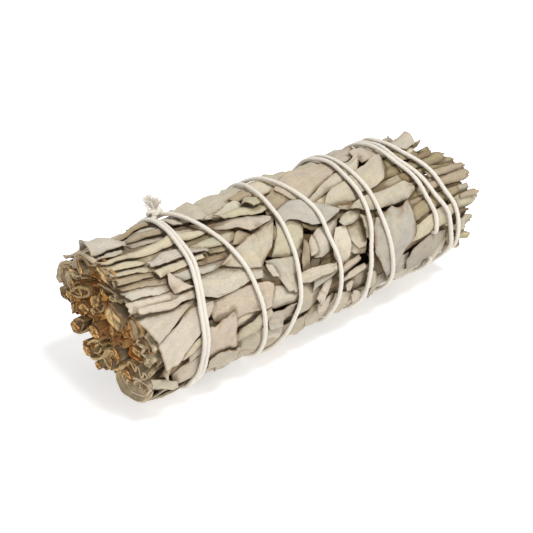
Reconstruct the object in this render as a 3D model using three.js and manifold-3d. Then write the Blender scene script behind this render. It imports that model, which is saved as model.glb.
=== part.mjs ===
// A small bundle of dried white sage, lying on its side and tied with one length of cotton string.
// It is made of leafy stems packed side by side. Each one is a solid of its own: a woody stem, the pressed
// leaves round it, and the leaves that lie on the outside of the bundle. The string goes round all of them.
// Millimetres, +Z up. The bundle runs along +X, from the cut stem ends to the trimmed tips, and rests on z = 0.
// Places on the bundle are given as [mm along it, degrees round it]: 0 faces -Y, 90 faces up.
import * as THREE from "three";
import { mergeVertices } from "three/addons/utils/BufferGeometryUtils.js";
import Module from "manifold-3d";

const wasm = await Module();
wasm.setup();

// Driving dimensions
const axisHeight = 20; // the bundle's axis above the surface it lies on
const thickRadius = 19.9; // radius over the leaves at the thickest place
const thickAt = -33; // where along the bundle that is
const taper = 0.00055; // fall of the radius with the square of the distance from there, per mm
const restGap = 1.5; // lowest leaf above the surface, which the string keeps it off
const leafDepth = 4; // depth of the layer of outside leaves over the pressed core
const frontDepth = 0.9; // how much deeper it is on the front, where more leaves lie over each other
const frontAngle = 45;
const leafThickness = 0.8; // middle of a blade, which thins towards its edges
const clearance = 0.3; // gap kept between two solids
const smallestFacet = 0.05;
const stringRadius = 0.65;
const centreShift = [1.1, 0.7]; // from the bundle's own axis to the middle of its bounding box, in plan
const coreStart = -46; // cut face of the pressed leaves, at the stem ends
const coreEnd = 38; // and at the tips
const unrollRadius = 19.4; // radius at which the surface is unrolled flat, to measure across leaves
const degree = Math.PI / 180;

const leafTones = [0xbdb5a2, 0xb4ad9a, 0xc6bfae, 0xb3a793, 0xa9a68f];
const stringTone = 0xefeae0;

// The leafy stems at the cut face: across, height over the axis, stem radius, and where the stem ends.
const stems = [
  [-0.5, 16.2, 2.2, -49.4],
  [6.4, 13.9, 1.6, -50],
  [-6.8, 8.3, 2.8, -50],
  [-12.0, 7.6, 1.8, -49.3],
  [0.8, -0.9, 1.7, -49.6],
  [10.8, -5.5, 1.5, -50],
  [5.1, -8.9, 1.7, -49.8],
  [-13.2, 2.6, 1.8, -48.4],
  [1.4, 7.2, 1.4, -49.2],
  [13.2, 2.8, 1.4, -49.8],
  [7.4, 7.3, 1.5, -49.9],
  [14.0, -2.2, 1.2, -49.6],
  [6.6, 1.8, 1.5, -49.4],
  [-5.0, -4.0, 1.6, -49],
  [-13.2, -3.2, 1.4, -47.6],
  [-1.2, -12.2, 1.5, -48.6],
  [-9.8, -9.6, 1.3, -47.4],
  [8.0, -13.2, 1.3, -48.8],
];

// Where the string passes down the front, in the order it was wound: mm along the bundle at each angle.
const passAngles = [115, 80, 45, 10, -25];
const passes = [
  [-28.3, -29.1, -31.2, -32.4, -32.5],
  [-25.8, -22.0, -18.7, -17.7, -16.6],
  [0.6, 3.6, 5.1, 6.0, 4.8],
  [20.0, 20.3, 21.1, 21.7, 22.9],
  [32.8, 32.9, 35.3, 36.7, 36.0],
  [34.6, 34.3, 37.6, 41.0, 42.4],
  [36.0, 37.0, 40.6, 43.3, 43.9],
  [18.4, 18.0, 17.6, 15.2, 14.5],
  [-3.9, -4.6, -5.4, -6.5, -9.8],
  [-29.6, -30.4, -32.5, -33.7, -33.8],
];
const knot = { along: -29, angle: 124, radius: 1.7, tails: [[-2.6, 6, 4.2], [1.6, -8, 3.6]] };

// How wide a leaf is from root to tip, as shares of its width.
const forms = {
  lance: [0.35, 0.82, 1, 0.82, 0.12],
  wedge: [1, 0.96, 0.78, 0.48, 0.1],
  strap: [0.8, 1, 1, 0.95, 0.45],
  blunt: [0.7, 1, 1, 1, 0.85],
  stalk: [0.9, 1, 1, 1, 0.9],
};

// The leaves on the front of the bundle, the lowest first.
// curl is how far the blade is rolled across its width, in degrees: a flat one is 0 and a tube is 360.
const frontLeaves = [
  { root: [-46, -22], tip: [-30, -26], wide: 6, form: "lance", curl: 40 },
  { root: [-24, -22], tip: [-8, -20], wide: 6, form: "lance", curl: 40 },
  { root: [-15, -10], tip: [-2, -7], wide: 7, form: "strap", curl: 30 },
  { root: [-5, 9], tip: [-16, 7], wide: 7.5, form: "strap", curl: 20 },
  { root: [-6, -24], tip: [8, -26], wide: 6, form: "lance", curl: 60 },
  { root: [10, -18], tip: [24, -24], wide: 6, form: "lance", curl: 40 },
  { root: [28, -26], tip: [46, -31], wide: 7, form: "lance", curl: 20 },
  { root: [-49, 87], tip: [-16, 77], wide: 3.2, form: "stalk", curl: 230 },
  { root: [-38, 95], tip: [-23, 91], wide: 2.8, form: "lance", curl: 180 },
  { root: [-52, 103], tip: [-39, 97], wide: 6.5, form: "blunt", curl: 110 },
  { root: [-50, 94], tip: [-37, 90], wide: 3.2, form: "strap", curl: 200 },
  { root: [-47, 86], tip: [-40, 75], wide: 2.8, form: "lance", curl: 100 },
  { root: [-48, 78], tip: [-25, 64.5], wide: 3, form: "lance", curl: 120 },
  { root: [-40, 76], tip: [-30, 74], wide: 2.6, form: "lance", curl: 60 },
  { root: [-26, 66], tip: [-17, 62], wide: 2.6, form: "stalk", curl: 160 },
  { root: [-31, 72], tip: [-16, 69.5], wide: 3.5, form: "strap", curl: 150 },
  { root: [-49, 71], tip: [-39, 67.5], wide: 3, form: "blunt", curl: 90 },
  { root: [-48, 66], tip: [-38.5, 58], wide: 2, form: "lance", curl: 60 },
  { root: [-39.5, 64], tip: [-27, 62], wide: 2.2, form: "blunt", curl: 100 },
  { root: [-48.5, 58], tip: [-38, 51.5], wide: 3.2, form: "strap", curl: 80 },
  { root: [-36, 60], tip: [-22, 58], wide: 2, form: "lance", curl: 40 },
  { root: [-36, 56], tip: [-21.5, 55], wide: 3, form: "lance", curl: 60 },
  { root: [-50, 47], tip: [-36, 45], wide: 3.4, form: "strap", curl: 110 },
  { root: [-47, 44], tip: [-30, 38], wide: 3, bow: -0.8, form: "strap", curl: 60 },
  { root: [-31, 22], tip: [-14, 24], wide: 7, form: "blunt", curl: 20 },
  { root: [-33, 41], tip: [-14.6, 37], wide: 6.6, form: "strap", curl: 60 },
  { root: [-49, 29], tip: [-28, 32], wide: 8.4, form: "wedge", curl: 30 },
  { root: [-46, 8], tip: [-27, 28], wide: 9, form: "wedge", curl: 30 },
  { root: [-46, -9], tip: [-37, -6], wide: 3.6, form: "strap", curl: 120 },
  { root: [-41, -14], tip: [-25, -17], wide: 5.5, form: "lance", curl: 40 },
  { root: [-38, -7], tip: [-33, 5], wide: 3.6, form: "blunt", curl: 30 },
  { root: [-29, -14], tip: [-27.5, 18.5], wide: 8.6, form: "blunt", curl: 25 },
  { root: [-24, -11], tip: [-14, -4], wide: 4.5, form: "lance", curl: 30 },
  { root: [-25, -5], tip: [-15.2, 9.5], wide: 5.4, form: "lance", curl: 40 },
  { root: [-28, 103], tip: [-5, 115], wide: 11, form: "lance", curl: 30 },
  { root: [-17, 85], tip: [-4.6, 83], wide: 3, form: "strap", curl: 170 },
  { root: [-21, 89], tip: [-9.3, 94], wide: 4, form: "strap", curl: 70 },
  { root: [-5.2, 87], tip: [-8.2, 99], wide: 4, form: "lance", curl: 120 },
  { root: [-1, 68], tip: [-9.5, 43], wide: 8.6, form: "lance", curl: 40 },
  { root: [-18.4, 47], tip: [-5.6, 68], wide: 8.8, form: "wedge", curl: 15 },
  { root: [-20.5, 83], tip: [-5.4, 71.5], wide: 6, form: "lance", curl: 35 },
  { root: [-8, 12], tip: [-9.6, 40], wide: 7.6, form: "blunt", curl: 20 },
  { root: [-4, 22], tip: [-1.8, 44], wide: 3, form: "lance", curl: 60 },
  { root: [1, 30], tip: [11, 46.5], wide: 6.4, form: "lance", curl: 20 },
  { root: [9.4, 43], tip: [8.3, 13], wide: 5, form: "blunt", curl: 30 },
  { root: [12.6, 44], tip: [14, 27], wide: 5, form: "strap", curl: 40 },
  { root: [10.5, 27], tip: [16, 19], wide: 4, form: "lance", curl: 40 },
  { root: [-6, 21], tip: [5, 14], wide: 3.2, form: "lance", curl: 60 },
  { root: [-4.4, -4], tip: [-3.4, 17], wide: 5, form: "lance", curl: 50 },
  { root: [-1, 5], tip: [5.4, 12.5], wide: 3, form: "lance", curl: 60 },
  { root: [2, 6], tip: [1.4, -10], wide: 4, bow: 1, form: "strap", curl: 110 },
  { root: [6, 6], tip: [13.3, 13], wide: 3.2, form: "stalk", curl: 220 },
  { root: [4.6, 1], tip: [14.6, 1], wide: 3, form: "lance", curl: 100 },
  { root: [5, -3], tip: [9.4, -13], wide: 3, form: "lance", curl: 90 },
  { root: [9, -3], tip: [14, -24], wide: 3, form: "lance", curl: 90 },
  { root: [-8, -14], tip: [0, -20], wide: 4, form: "lance", curl: 50 },
  { root: [10, 45], tip: [17, 47.5], wide: 3.6, form: "strap", curl: 130 },
  { root: [8.4, 59], tip: [15, 54], wide: 2, form: "lance", curl: 30 },
  { root: [-2, 84], tip: [17.4, 97], wide: 11, form: "lance", curl: 25 },
  { root: [5.4, 69], tip: [18, 85], wide: 4.8, form: "strap", curl: 50 },
  { root: [7.4, 61.5], tip: [18, 69], wide: 6, form: "strap", curl: 50 },
  { root: [-4.4, 69], tip: [11.6, 54.5], wide: 7, bow: 1.2, form: "lance", curl: 50 },
  { root: [16, 103], tip: [31, 99], wide: 9, form: "lance", curl: 25 },
  { root: [18.6, 87], tip: [26.2, 95.5], wide: 5.4, form: "lance", curl: 30 },
  { root: [28, 104], tip: [37.5, 110], wide: 6.5, form: "lance", curl: 20 },
  { root: [27, 93], tip: [43, 99], wide: 7.4, form: "strap", curl: 40 },
  { root: [31, 80], tip: [41.5, 78], wide: 4.6, form: "blunt", curl: 60 },
  { root: [26, 71.5], tip: [46.8, 66], wide: 3.6, form: "stalk", curl: 230 },
  { root: [27, 62.5], tip: [36.5, 60], wide: 2.8, form: "strap", curl: 120 },
  { root: [36, 58.5], tip: [49.8, 49.5], wide: 2.8, form: "stalk", curl: 240 },
  { root: [33, 51], tip: [47, 53], wide: 3.4, form: "strap", curl: 90 },
  { root: [37, 45], tip: [50, 40.5], wide: 3.2, form: "stalk", curl: 230 },
  { root: [39, 38], tip: [48, 34.5], wide: 2, form: "stalk", curl: 260 },
  { root: [28, 30], tip: [47, 32], wide: 5.6, form: "strap", curl: 80 },
  { root: [28, 12], tip: [44, 18], wide: 5.4, form: "strap", curl: 100 },
  { root: [40, 19], tip: [50, 19.5], wide: 5.6, form: "blunt", curl: 110 },
  { root: [41, 1], tip: [48.6, 3], wide: 6, form: "strap", curl: 90 },
  { root: [41, -13], tip: [49, -19], wide: 4.2, form: "lance", curl: 60 },
  { root: [17, 60.5], tip: [30.7, 88], wide: 9.6, form: "wedge", curl: 15 },
  { root: [20, 59.5], tip: [29.5, 61], wide: 3, form: "lance", curl: 20 },
  { root: [14, 53.5], tip: [34.8, 49], wide: 5.2, form: "strap", curl: 40 },
  { root: [21, -14], tip: [28, -7], wide: 5, form: "lance", curl: 20 },
  { root: [22.6, -8], tip: [24.6, 41.5], wide: 12.4, form: "blunt", curl: 15 },
  { root: [26, -14], tip: [41.5, -5], wide: 9, form: "strap", curl: 15 },
];

// The rest of the way round: rows of leaves set out by rule.
const hiddenRows = { from: 137, to: 322, step: 25 };
const hiddenColumns = [
  { along: -41, long: 17, wide: 5.5, form: "strap", curl: 90 },
  { along: -24, long: 20, wide: 9, form: "lance", curl: 30 },
  { along: -4, long: 20, wide: 10, form: "wedge", curl: 20 },
  { along: 16, long: 19, wide: 9.6, form: "lance", curl: 30 },
  { along: 37, long: 19, wide: 5, form: "strap", curl: 160 },
];

// Random numbers from 0 to 1 that are the same at every run
function seededRandom(seed) {
  let state = seed;
  return () => {
    state = (state + 0x6d2b79f5) | 0;
    let mixed = Math.imul(state ^ (state >>> 15), 1 | state);
    mixed = (mixed + Math.imul(mixed ^ (mixed >>> 7), 61 | mixed)) ^ mixed;
    return ((mixed ^ (mixed >>> 14)) >>> 0) / 4294967296;
  };
}

const lerp = (a, b, share) => a + (b - a) * share;

// Value of evenly spaced samples at a share of their length
function sampled(values, share) {
  const position = Math.min(Math.max(share, 0), 1) * (values.length - 1);
  const index = Math.min(Math.floor(position), values.length - 2);
  return lerp(values[index], values[index + 1], position - index);
}

// Radius over the leaves, with the underside flattened where the bundle lies
function envelope(along, angle) {
  const round = thickRadius - taper * (along - thickAt) ** 2;
  return Math.min(round, floorLimit(angle) - 0.2);
}

function floorLimit(angle) {
  const down = -Math.sin(angle * degree);
  return down > 0.3 ? (axisHeight - restGap) / down : Infinity;
}

function coreRadius(along, angle) {
  return envelope(along, angle) - leafDepth - frontDepth * Math.cos((angle - frontAngle) * degree);
}

function place(along, angle, radius) {
  return new THREE.Vector3(
    along,
    -radius * Math.cos(angle * degree),
    axisHeight + radius * Math.sin(angle * degree),
  );
}

// A closed solid through a row of rings that all have the same number of points
function loft(rings) {
  const count = rings[0].length;
  const positions = rings.flat().flatMap((point) => [point.x, point.y, point.z]);
  const faces = [];
  for (let ring = 0; ring < rings.length - 1; ring++) {
    for (let side = 0; side < count; side++) {
      const a = ring * count + side;
      const b = ring * count + ((side + 1) % count);
      faces.push(a, b, b + count, a, b + count, a + count);
    }
  }
  const last = (rings.length - 1) * count;
  for (let side = 1; side < count - 1; side++) {
    faces.push(0, side + 1, side, last, last + side, last + side + 1);
  }
  return closedSolid(positions, faces);
}

function closedSolid(positions, faces) {
  const build = (triangles) =>
    new wasm.Manifold(
      new wasm.Mesh({
        numProp: 3,
        vertProperties: new Float32Array(positions),
        triVerts: new Uint32Array(triangles),
      }),
    );
  const solid = build(faces);
  if (solid.volume() > 0) return solid;
  const turned = [];
  for (let i = 0; i < faces.length; i += 3) turned.push(faces[i], faces[i + 2], faces[i + 1]);
  return build(turned);
}

// A three.js geometry as a solid, moved by a matrix
function solidOf(geometry, matrix = new THREE.Matrix4()) {
  geometry.deleteAttribute("normal");
  geometry.deleteAttribute("uv");
  const merged = mergeVertices(geometry.applyMatrix4(matrix));
  return closedSolid([...merged.attributes.position.array], [...merged.index.array]);
}

// A straight rod between two points, which may taper
function rod(from, to, fromRadius, toRadius, sides) {
  const geometry = new THREE.CylinderGeometry(toRadius, fromRadius, from.distanceTo(to), sides);
  const direction = to.clone().sub(from).normalize();
  const turn = new THREE.Quaternion().setFromUnitVectors(new THREE.Vector3(0, 1, 0), direction);
  const middle = from.clone().lerp(to, 0.5);
  return solidOf(geometry, new THREE.Matrix4().compose(middle, turn, new THREE.Vector3(1, 1, 1)));
}

const joined = (solids) => solids.reduce((all, one) => all.add(one));

// The height of what has been laid on the bundle so far, on a grid of about 1 mm
const grid = { start: -56, columns: 112, rows: 120 };
const rowAngle = 360 / grid.rows;
const heights = new Float32Array(grid.columns * grid.rows);
for (let column = 0; column < grid.columns; column++) {
  for (let row = 0; row < grid.rows; row++) {
    heights[column * grid.rows + row] = coreRadius(grid.start + column, row * rowAngle);
  }
}

function heightIndex(column, row) {
  const inside = Math.min(Math.max(column, 0), grid.columns - 1);
  return inside * grid.rows + (((row % grid.rows) + grid.rows) % grid.rows);
}

function highest(along, angle, reach) {
  const column = Math.round(along - grid.start);
  const row = Math.round(angle / rowAngle);
  let top = 0;
  for (let dx = -reach; dx <= reach; dx++) {
    for (let dy = -reach; dy <= reach; dy++) {
      top = Math.max(top, heights[heightIndex(column + dx, row + dy)]);
    }
  }
  return top;
}

function raise(along, angle, radius) {
  const index = heightIndex(Math.round(along - grid.start), Math.round(angle / rowAngle));
  heights[index] = Math.max(heights[index], radius);
}

// A leaf that was cut off with the stems shows its cut end. Any other grows out of the bundle.
const isCut = (leaf) => leaf.root[0] < coreStart + 2;

// Points along a leaf with the width there, in the unrolled plane
function leafStations(leaf) {
  const toArc = degree * unrollRadius;
  const start = [leaf.root[0], leaf.root[1] * toArc];
  const end = [leaf.tip[0], leaf.tip[1] * toArc];
  const long = Math.hypot(end[0] - start[0], end[1] - start[1]);
  const side = [-(end[1] - start[1]) / long, (end[0] - start[0]) / long];
  const dive = Math.min(2.4 / long, 0.3);
  const count = Math.max(2, Math.round(long / 6.5));
  const shares = Array.from({ length: count + 1 }, (_, i) => i / count);
  if (!isCut(leaf)) shares.splice(0, 1, 0, dive);
  const stations = [];
  for (const share of shares) {
    const bow = (leaf.bow ?? 0) * Math.sin(Math.PI * share);
    const half = Math.max(0.5, (leaf.wide / 2) * sampled(forms[leaf.form], share));
    const middle = [0, 1].map((k) => lerp(start[k], end[k], share) + side[k] * bow);
    const across = [-1, 0, 1].map((v) => ({
      along: middle[0] + side[0] * half * v,
      angle: (middle[1] + side[1] * half * v) / toArc,
    }));
    stations.push({ share, half, across });
  }
  return stations;
}

// Rests a leaf on what lies under it, stiff enough to bridge hollows, and raises the heights to its top
function layDown(leaf) {
  const stations = leafStations(leaf);
  const low = stations.map(({ across }) =>
    across.map(({ along, angle }) => highest(along, angle, 1) + clearance + 0.05),
  );
  for (let pass = 0; pass < 3; pass++) {
    for (let i = 1; i < low.length - 1; i++) {
      for (let v = 0; v < 3; v++) {
        low[i][v] = Math.max(low[i][v], (low[i - 1][v] + low[i + 1][v]) / 2 - 0.2);
      }
    }
  }
  const rolled = Math.min(leaf.curl / 360, 0.6);
  leaf.sections = stations.map(({ share, half, across }, i) => {
    if (i === 0 && !isCut(leaf)) return sunkSection(across, half);
    const arch = half * rolled + (leafThickness - 0.35);
    const limits = across.map(({ along, angle }) =>
      Math.min(floorLimit(angle) - 0.05, envelope(along, angle) + 0.9),
    );
    const middleTop = Math.min(Math.max(low[i][1] + 0.35, (low[i][0] + low[i][2]) / 2) + arch, limits[1]);
    return {
      share,
      left: { ...across[0], radius: Math.min(low[i][0] + 0.35, limits[0]) },
      top: { ...across[1], radius: middleTop },
      right: { ...across[2], radius: Math.min(low[i][2] + 0.35, limits[2]) },
      bottom: { ...across[1], radius: Math.min(low[i][1], middleTop - leafThickness) },
    };
  });
  for (let i = 0; i < leaf.sections.length - 1; i++) {
    const from = leaf.sections[i];
    const to = leaf.sections[i + 1];
    for (let step = 0; step <= 6; step++) {
      for (let v = -6; v <= 6; v++) {
        const edge = v < 0 ? "left" : "right";
        const corners = [from[edge], from.top, to[edge], to.top];
        const part = Math.abs(v) / 6;
        const [along, angle, radius] = ["along", "angle", "radius"].map((key) =>
          lerp(
            lerp(corners[1][key], corners[0][key], part),
            lerp(corners[3][key], corners[2][key], part),
            step / 6,
          ),
        );
        raise(along, angle, radius);
      }
    }
  }
}

// The root end of a leaf, narrow and well inside the core
function sunkSection(across, half) {
  const narrow = Math.min(1, 1.5 / half);
  const [left, middle, right] = across.map(({ along, angle }) => {
    const inside = Math.min(Math.max(lerp(across[1].along, along, narrow), coreStart + 3), coreEnd - 4);
    const turned = lerp(across[1].angle, angle, narrow);
    return { along: inside, angle: turned, radius: coreRadius(inside, turned) - 1.3 };
  });
  const top = { ...middle, radius: middle.radius + 0.5 };
  const bottom = { ...middle, radius: middle.radius - 0.5 };
  return { left, top, right, bottom };
}

// A leaf's blade, made larger all round by grow
function blade(leaf, grow) {
  const rings = leaf.sections.map(({ left, top, right, bottom }) => {
    const middle = place(top.along, top.angle, (top.radius + bottom.radius) / 2);
    const outward = (corner, rise) => {
      const point = place(corner.along, corner.angle, corner.radius + rise);
      if (!rise) point.add(point.clone().sub(middle).setLength(grow));
      return point;
    };
    return [outward(left, 0), outward(top, grow), outward(right, 0), outward(bottom, -grow)];
  });
  const first = rings[0];
  const last = rings[rings.length - 1];
  const lengthen = (ring, next) => {
    const away = ring[1].clone().sub(next[1]).setLength(grow);
    ring.forEach((point) => point.add(away));
  };
  if (grow > 0) {
    lengthen(first, rings[1]);
    lengthen(last, rings[rings.length - 2]);
  }
  return loft(rings);
}

// Four-sided peg from under a leaf down to the stem it grows from
function peg(from, to, thick) {
  const along = new THREE.Vector3(1, 0, 0);
  const sideways = new THREE.Vector3().crossVectors(along, to.clone().sub(from)).setLength(thick);
  const corners = [
    [-thick, -1],
    [thick, -1],
    [thick, 1],
    [-thick, 1],
  ];
  const ring = (centre) =>
    corners.map(([forward, side]) =>
      centre.clone().addScaledVector(along, forward).addScaledVector(sideways, side),
    );
  return loft([ring(from), ring(to)]);
}

// The region of the cut face that belongs to each stem: a convex polygon, split half way between the stems
function stemCells() {
  const rim = [];
  for (let angle = 0; angle < 360; angle += 20) {
    const radius = coreRadius(coreStart, angle);
    rim.push([-radius * Math.cos(angle * degree), radius * Math.sin(angle * degree)]);
  }
  return stems.map(([y, z, radius], index) => {
    let polygon = rim;
    stems.forEach(([otherY, otherZ, otherRadius], other) => {
      if (other === index) return;
      const far = Math.hypot(otherY - y, otherZ - z);
      const normal = [(otherY - y) / far, (otherZ - z) / far];
      const border = (far * far + radius * radius - otherRadius * otherRadius) / (2 * far) - clearance / 2;
      const limit = normal[0] * y + normal[1] * z + border;
      polygon = clipped(polygon, normal, limit);
    });
    return polygon;
  });
}

function clipped(polygon, normal, limit) {
  const over = ([y, z]) => normal[0] * y + normal[1] * z - limit;
  const kept = [];
  polygon.forEach((point, i) => {
    const next = polygon[(i + 1) % polygon.length];
    const here = over(point);
    const there = over(next);
    if (here <= 0) kept.push(point);
    if (here < 0 !== there < 0 && here !== there) {
      const share = here / (here - there);
      kept.push([lerp(point[0], next[0], share), lerp(point[1], next[1], share)]);
    }
  });
  return kept;
}

// Size of the core's cross-section along the bundle, against the cut face
const coreScale = (along) => coreRadius(along, 90) / coreRadius(coreStart, 90);

function crossPoint(along, [y, z], scale = 1) {
  const size = coreScale(along) * scale;
  return new THREE.Vector3(along, y * size, axisHeight + z * size);
}

// The pressed leaves and the stem of one leafy stem
function sprigCore(cell, stem, random) {
  const start = coreStart + 1.6 * random();
  const end = coreEnd - 2.4 * random();
  const parts = [loft([start, end].map((along) => cell.map((p) => crossPoint(along, p))))];
  const [y, z, radius, stemStart] = stem;
  const centre = (along) => crossPoint(along, [y, z]);
  parts.push(rod(centre(stemStart), centre(start + 2), radius * 0.95, radius, 7));
  parts.push(rod(centre(end - 2), centre(end + 4 + 7 * random()), radius * 0.65, radius * 0.5, 6));
  const wraps = [
    { from: start + 1, to: start - 1.6 - 1.2 * random(), size: 0.8 },
    { from: end - 1, to: end + 3 + 4 * random(), size: 0.76 },
  ];
  for (const { from, to, size } of wraps) {
    parts.push(wrappedLeaf(cell, [y, z], from, to, size, Math.floor(random() * cell.length)));
  }
  return joined(parts);
}

// A leaf folded round the stem, which stands out of the cut face as a bent strip
function wrappedLeaf(cell, centre, from, to, size, first) {
  const count = Math.max(3, Math.ceil(cell.length * 0.5));
  const middle = cell.reduce((sum, p) => [sum[0] + p[0] / cell.length, sum[1] + p[1] / cell.length], [0, 0]);
  const outer = [];
  const inner = [];
  for (let i = 0; i < count; i++) {
    const corner = cell[(first + i) % cell.length];
    const point = [lerp(middle[0], corner[0], size), lerp(middle[1], corner[1], size)];
    const reach = Math.hypot(point[0] - middle[0], point[1] - middle[1]);
    const inset = 1 - 0.75 / Math.max(reach, 1.5);
    outer.push(point);
    inner.push([lerp(middle[0], point[0], inset), lerp(middle[1], point[1], inset)]);
  }
  const strips = [];
  for (let i = 0; i < count - 1; i++) {
    const quad = [outer[i], outer[i + 1], inner[i + 1], inner[i]];
    strips.push(loft([from, to].map((along) => quad.map((p) => crossPoint(along, p)))));
  }
  return joined(strips);
}

// Which leafy stem a place under the surface belongs to
function stemAt(along, angle) {
  const radius = coreRadius(along, angle) - 1.2;
  const size = coreScale(along);
  const y = (-radius * Math.cos(angle * degree)) / size;
  const z = (radius * Math.sin(angle * degree)) / size;
  let best = 0;
  let least = Infinity;
  stems.forEach(([stemY, stemZ, stemRadius], index) => {
    const power = (stemY - y) ** 2 + (stemZ - z) ** 2 - stemRadius ** 2;
    if (power < least) [best, least] = [index, power];
  });
  return best;
}

function hiddenLeaves() {
  const random = seededRandom(7);
  const leaves = [];
  for (let row = 0; hiddenRows.from + row * hiddenRows.step < hiddenRows.to; row++) {
    hiddenColumns.forEach((column, index) => {
      const shift = ((row + index) % 2) * 3 - 1.5 + 2 * (random() - 0.5);
      const angle = hiddenRows.from + row * hiddenRows.step + 6 * (random() - 0.5);
      const turn = (index === 0 || index === 4 ? 6 : 26) * (random() - 0.5);
      const half = (column.long / 2) * (0.9 + 0.2 * random());
      const along = column.along + shift;
      const wide = column.wide * (0.85 + 0.3 * random());
      leaves.push({
        root: [Math.max(along - half, -50), angle - turn],
        tip: [Math.min(along + half, 49.5), angle + turn],
        wide,
        form: column.form,
        curl: column.curl,
      });
    });
  }
  return leaves;
}

// The string's way round the bundle: [degrees turned, mm along], always turning the same way
function stringRoute() {
  const route = [[knot.angle, knot.along]];
  passes.forEach((pass, turn) => {
    pass.forEach((along, i) => route.push([passAngles[i] - 360 * turn, along]));
  });
  route.push([knot.angle - 360 * passes.length, knot.along]);
  return route;
}

// Where along the bundle the string is after turning to an angle, on a smooth curve through its route
function stringAlong(route, angle) {
  let i = 0;
  while (i < route.length - 2 && route[i + 1][0] > angle) i++;
  const [a, b] = [route[i], route[i + 1]];
  const before = route[Math.max(i - 1, 0)];
  const after = route[Math.min(i + 2, route.length - 1)];
  const slopeA = (b[1] - before[1]) / (b[0] - before[0]);
  const slopeB = (after[1] - a[1]) / (after[0] - a[0]);
  const span = b[0] - a[0];
  const t = (angle - a[0]) / span;
  return (
    a[1] * (2 * t ** 3 - 3 * t ** 2 + 1) +
    slopeA * span * (t ** 3 - 2 * t ** 2 + t) +
    b[1] * (3 * t ** 2 - 2 * t ** 3) +
    slopeB * span * (t ** 3 - t ** 2)
  );
}

// Points of the taut string, lying on the leaves and straight where it bridges them.
// Under the thick part of the bundle it lies on the surface the bundle rests on.
function stringPoints() {
  const route = stringRoute();
  const step = 18;
  const total = Math.round((route[0][0] - route[route.length - 1][0]) / step);
  const floor = (angle) => {
    const down = -Math.sin(angle * degree);
    return down > 0.3 ? (axisHeight - stringRadius + 0.15) / down : Infinity;
  };
  const points = [];
  for (let i = 0; i <= total; i++) {
    const angle = route[0][0] - i * step;
    const along = stringAlong(route, angle);
    const ridges = [-0.5, 0, 0.5].map((part) => highest(along, angle + part * step, 1));
    const low = -Math.sin(angle * degree) > 0.93 && envelope(along, angle) + 1.3 > floor(angle);
    const radius = low ? Infinity : Math.max(...ridges) + stringRadius + clearance;
    points.push({ along, angle, radius: Math.min(radius, floor(angle)) });
  }
  const straight = 2 * Math.cos(step * degree);
  for (let pass = 0; pass < 40; pass++) {
    for (let i = 1; i < points.length - 1; i++) {
      const chord = straight / (1 / points[i - 1].radius + 1 / points[i + 1].radius);
      points[i].radius = Math.min(Math.max(points[i].radius, chord), floor(points[i].angle));
    }
  }
  return points;
}

function stringTube(points, radius) {
  const centres = points.map(({ along, angle, radius: out }) => place(along, angle, out));
  const rings = centres.map((centre, i) => {
    const ahead = centres[Math.min(i + 1, centres.length - 1)];
    const behind = centres[Math.max(i - 1, 0)];
    const along = ahead.clone().sub(behind).normalize();
    const outward = new THREE.Vector3(0, centre.y, centre.z - axisHeight).normalize();
    const side = new THREE.Vector3().crossVectors(along, outward).normalize();
    return Array.from({ length: 5 }, (_, k) => {
      const turn = (k + 0.25) * ((2 * Math.PI) / 5);
      return centre
        .clone()
        .addScaledVector(outward, radius * Math.sin(turn))
        .addScaledVector(side, radius * Math.cos(turn));
    });
  });
  // Each turn is a solid of its own until they are joined, so that turns may lie across each other.
  const turns = [];
  for (let first = 0; first < rings.length - 1; first += 20) {
    turns.push(loft(rings.slice(first, first + 21)));
  }
  return joined(turns);
}

// The knot with its two short, flared tails
function stringKnot(points, grow) {
  const centre = place(knot.along, knot.angle, points[0].radius + 0.4);
  const ball = new THREE.SphereGeometry(knot.radius + grow, 8, 5);
  const parts = [solidOf(ball, new THREE.Matrix4().makeTranslation(centre))];
  for (const [along, turn, rise] of knot.tails) {
    const end = place(knot.along + along, knot.angle + turn, points[0].radius + rise);
    parts.push(rod(centre, end, 0.6 + grow, 1.1 + grow, 5));
  }
  return joined(parts);
}

// The largest body of a solid, without its smallest facets and its loose scraps
function tidied(solid) {
  const bodies = solid.asOriginal().simplify(smallestFacet).decompose();
  return bodies.reduce((best, one) => (one.volume() > best.volume() ? one : best));
}

const overlaps = (a, b) => {
  const [boxA, boxB] = [a.boundingBox(), b.boundingBox()];
  return [0, 1, 2].every((k) => boxA.min[k] <= boxB.max[k] && boxB.min[k] <= boxA.max[k]);
};

function without(solid, cutters) {
  return cutters.filter((cutter) => overlaps(solid, cutter)).reduce((left, cutter) => left.subtract(cutter), solid);
}

function meshOf(solid, name, color) {
  const { vertProperties, triVerts, numProp } = solid.getMesh();
  const positions = [];
  for (let i = 0; i < vertProperties.length; i += numProp) {
    positions.push(vertProperties[i], vertProperties[i + 1], vertProperties[i + 2]);
  }
  const geometry = new THREE.BufferGeometry();
  geometry.setAttribute("position", new THREE.Float32BufferAttribute(positions, 3));
  geometry.setIndex([...triVerts]);
  geometry.computeVertexNormals();
  const mesh = new THREE.Mesh(geometry, new THREE.MeshStandardMaterial({ color, roughness: 0.9, metalness: 0 }));
  mesh.name = name;
  return mesh;
}

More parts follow.
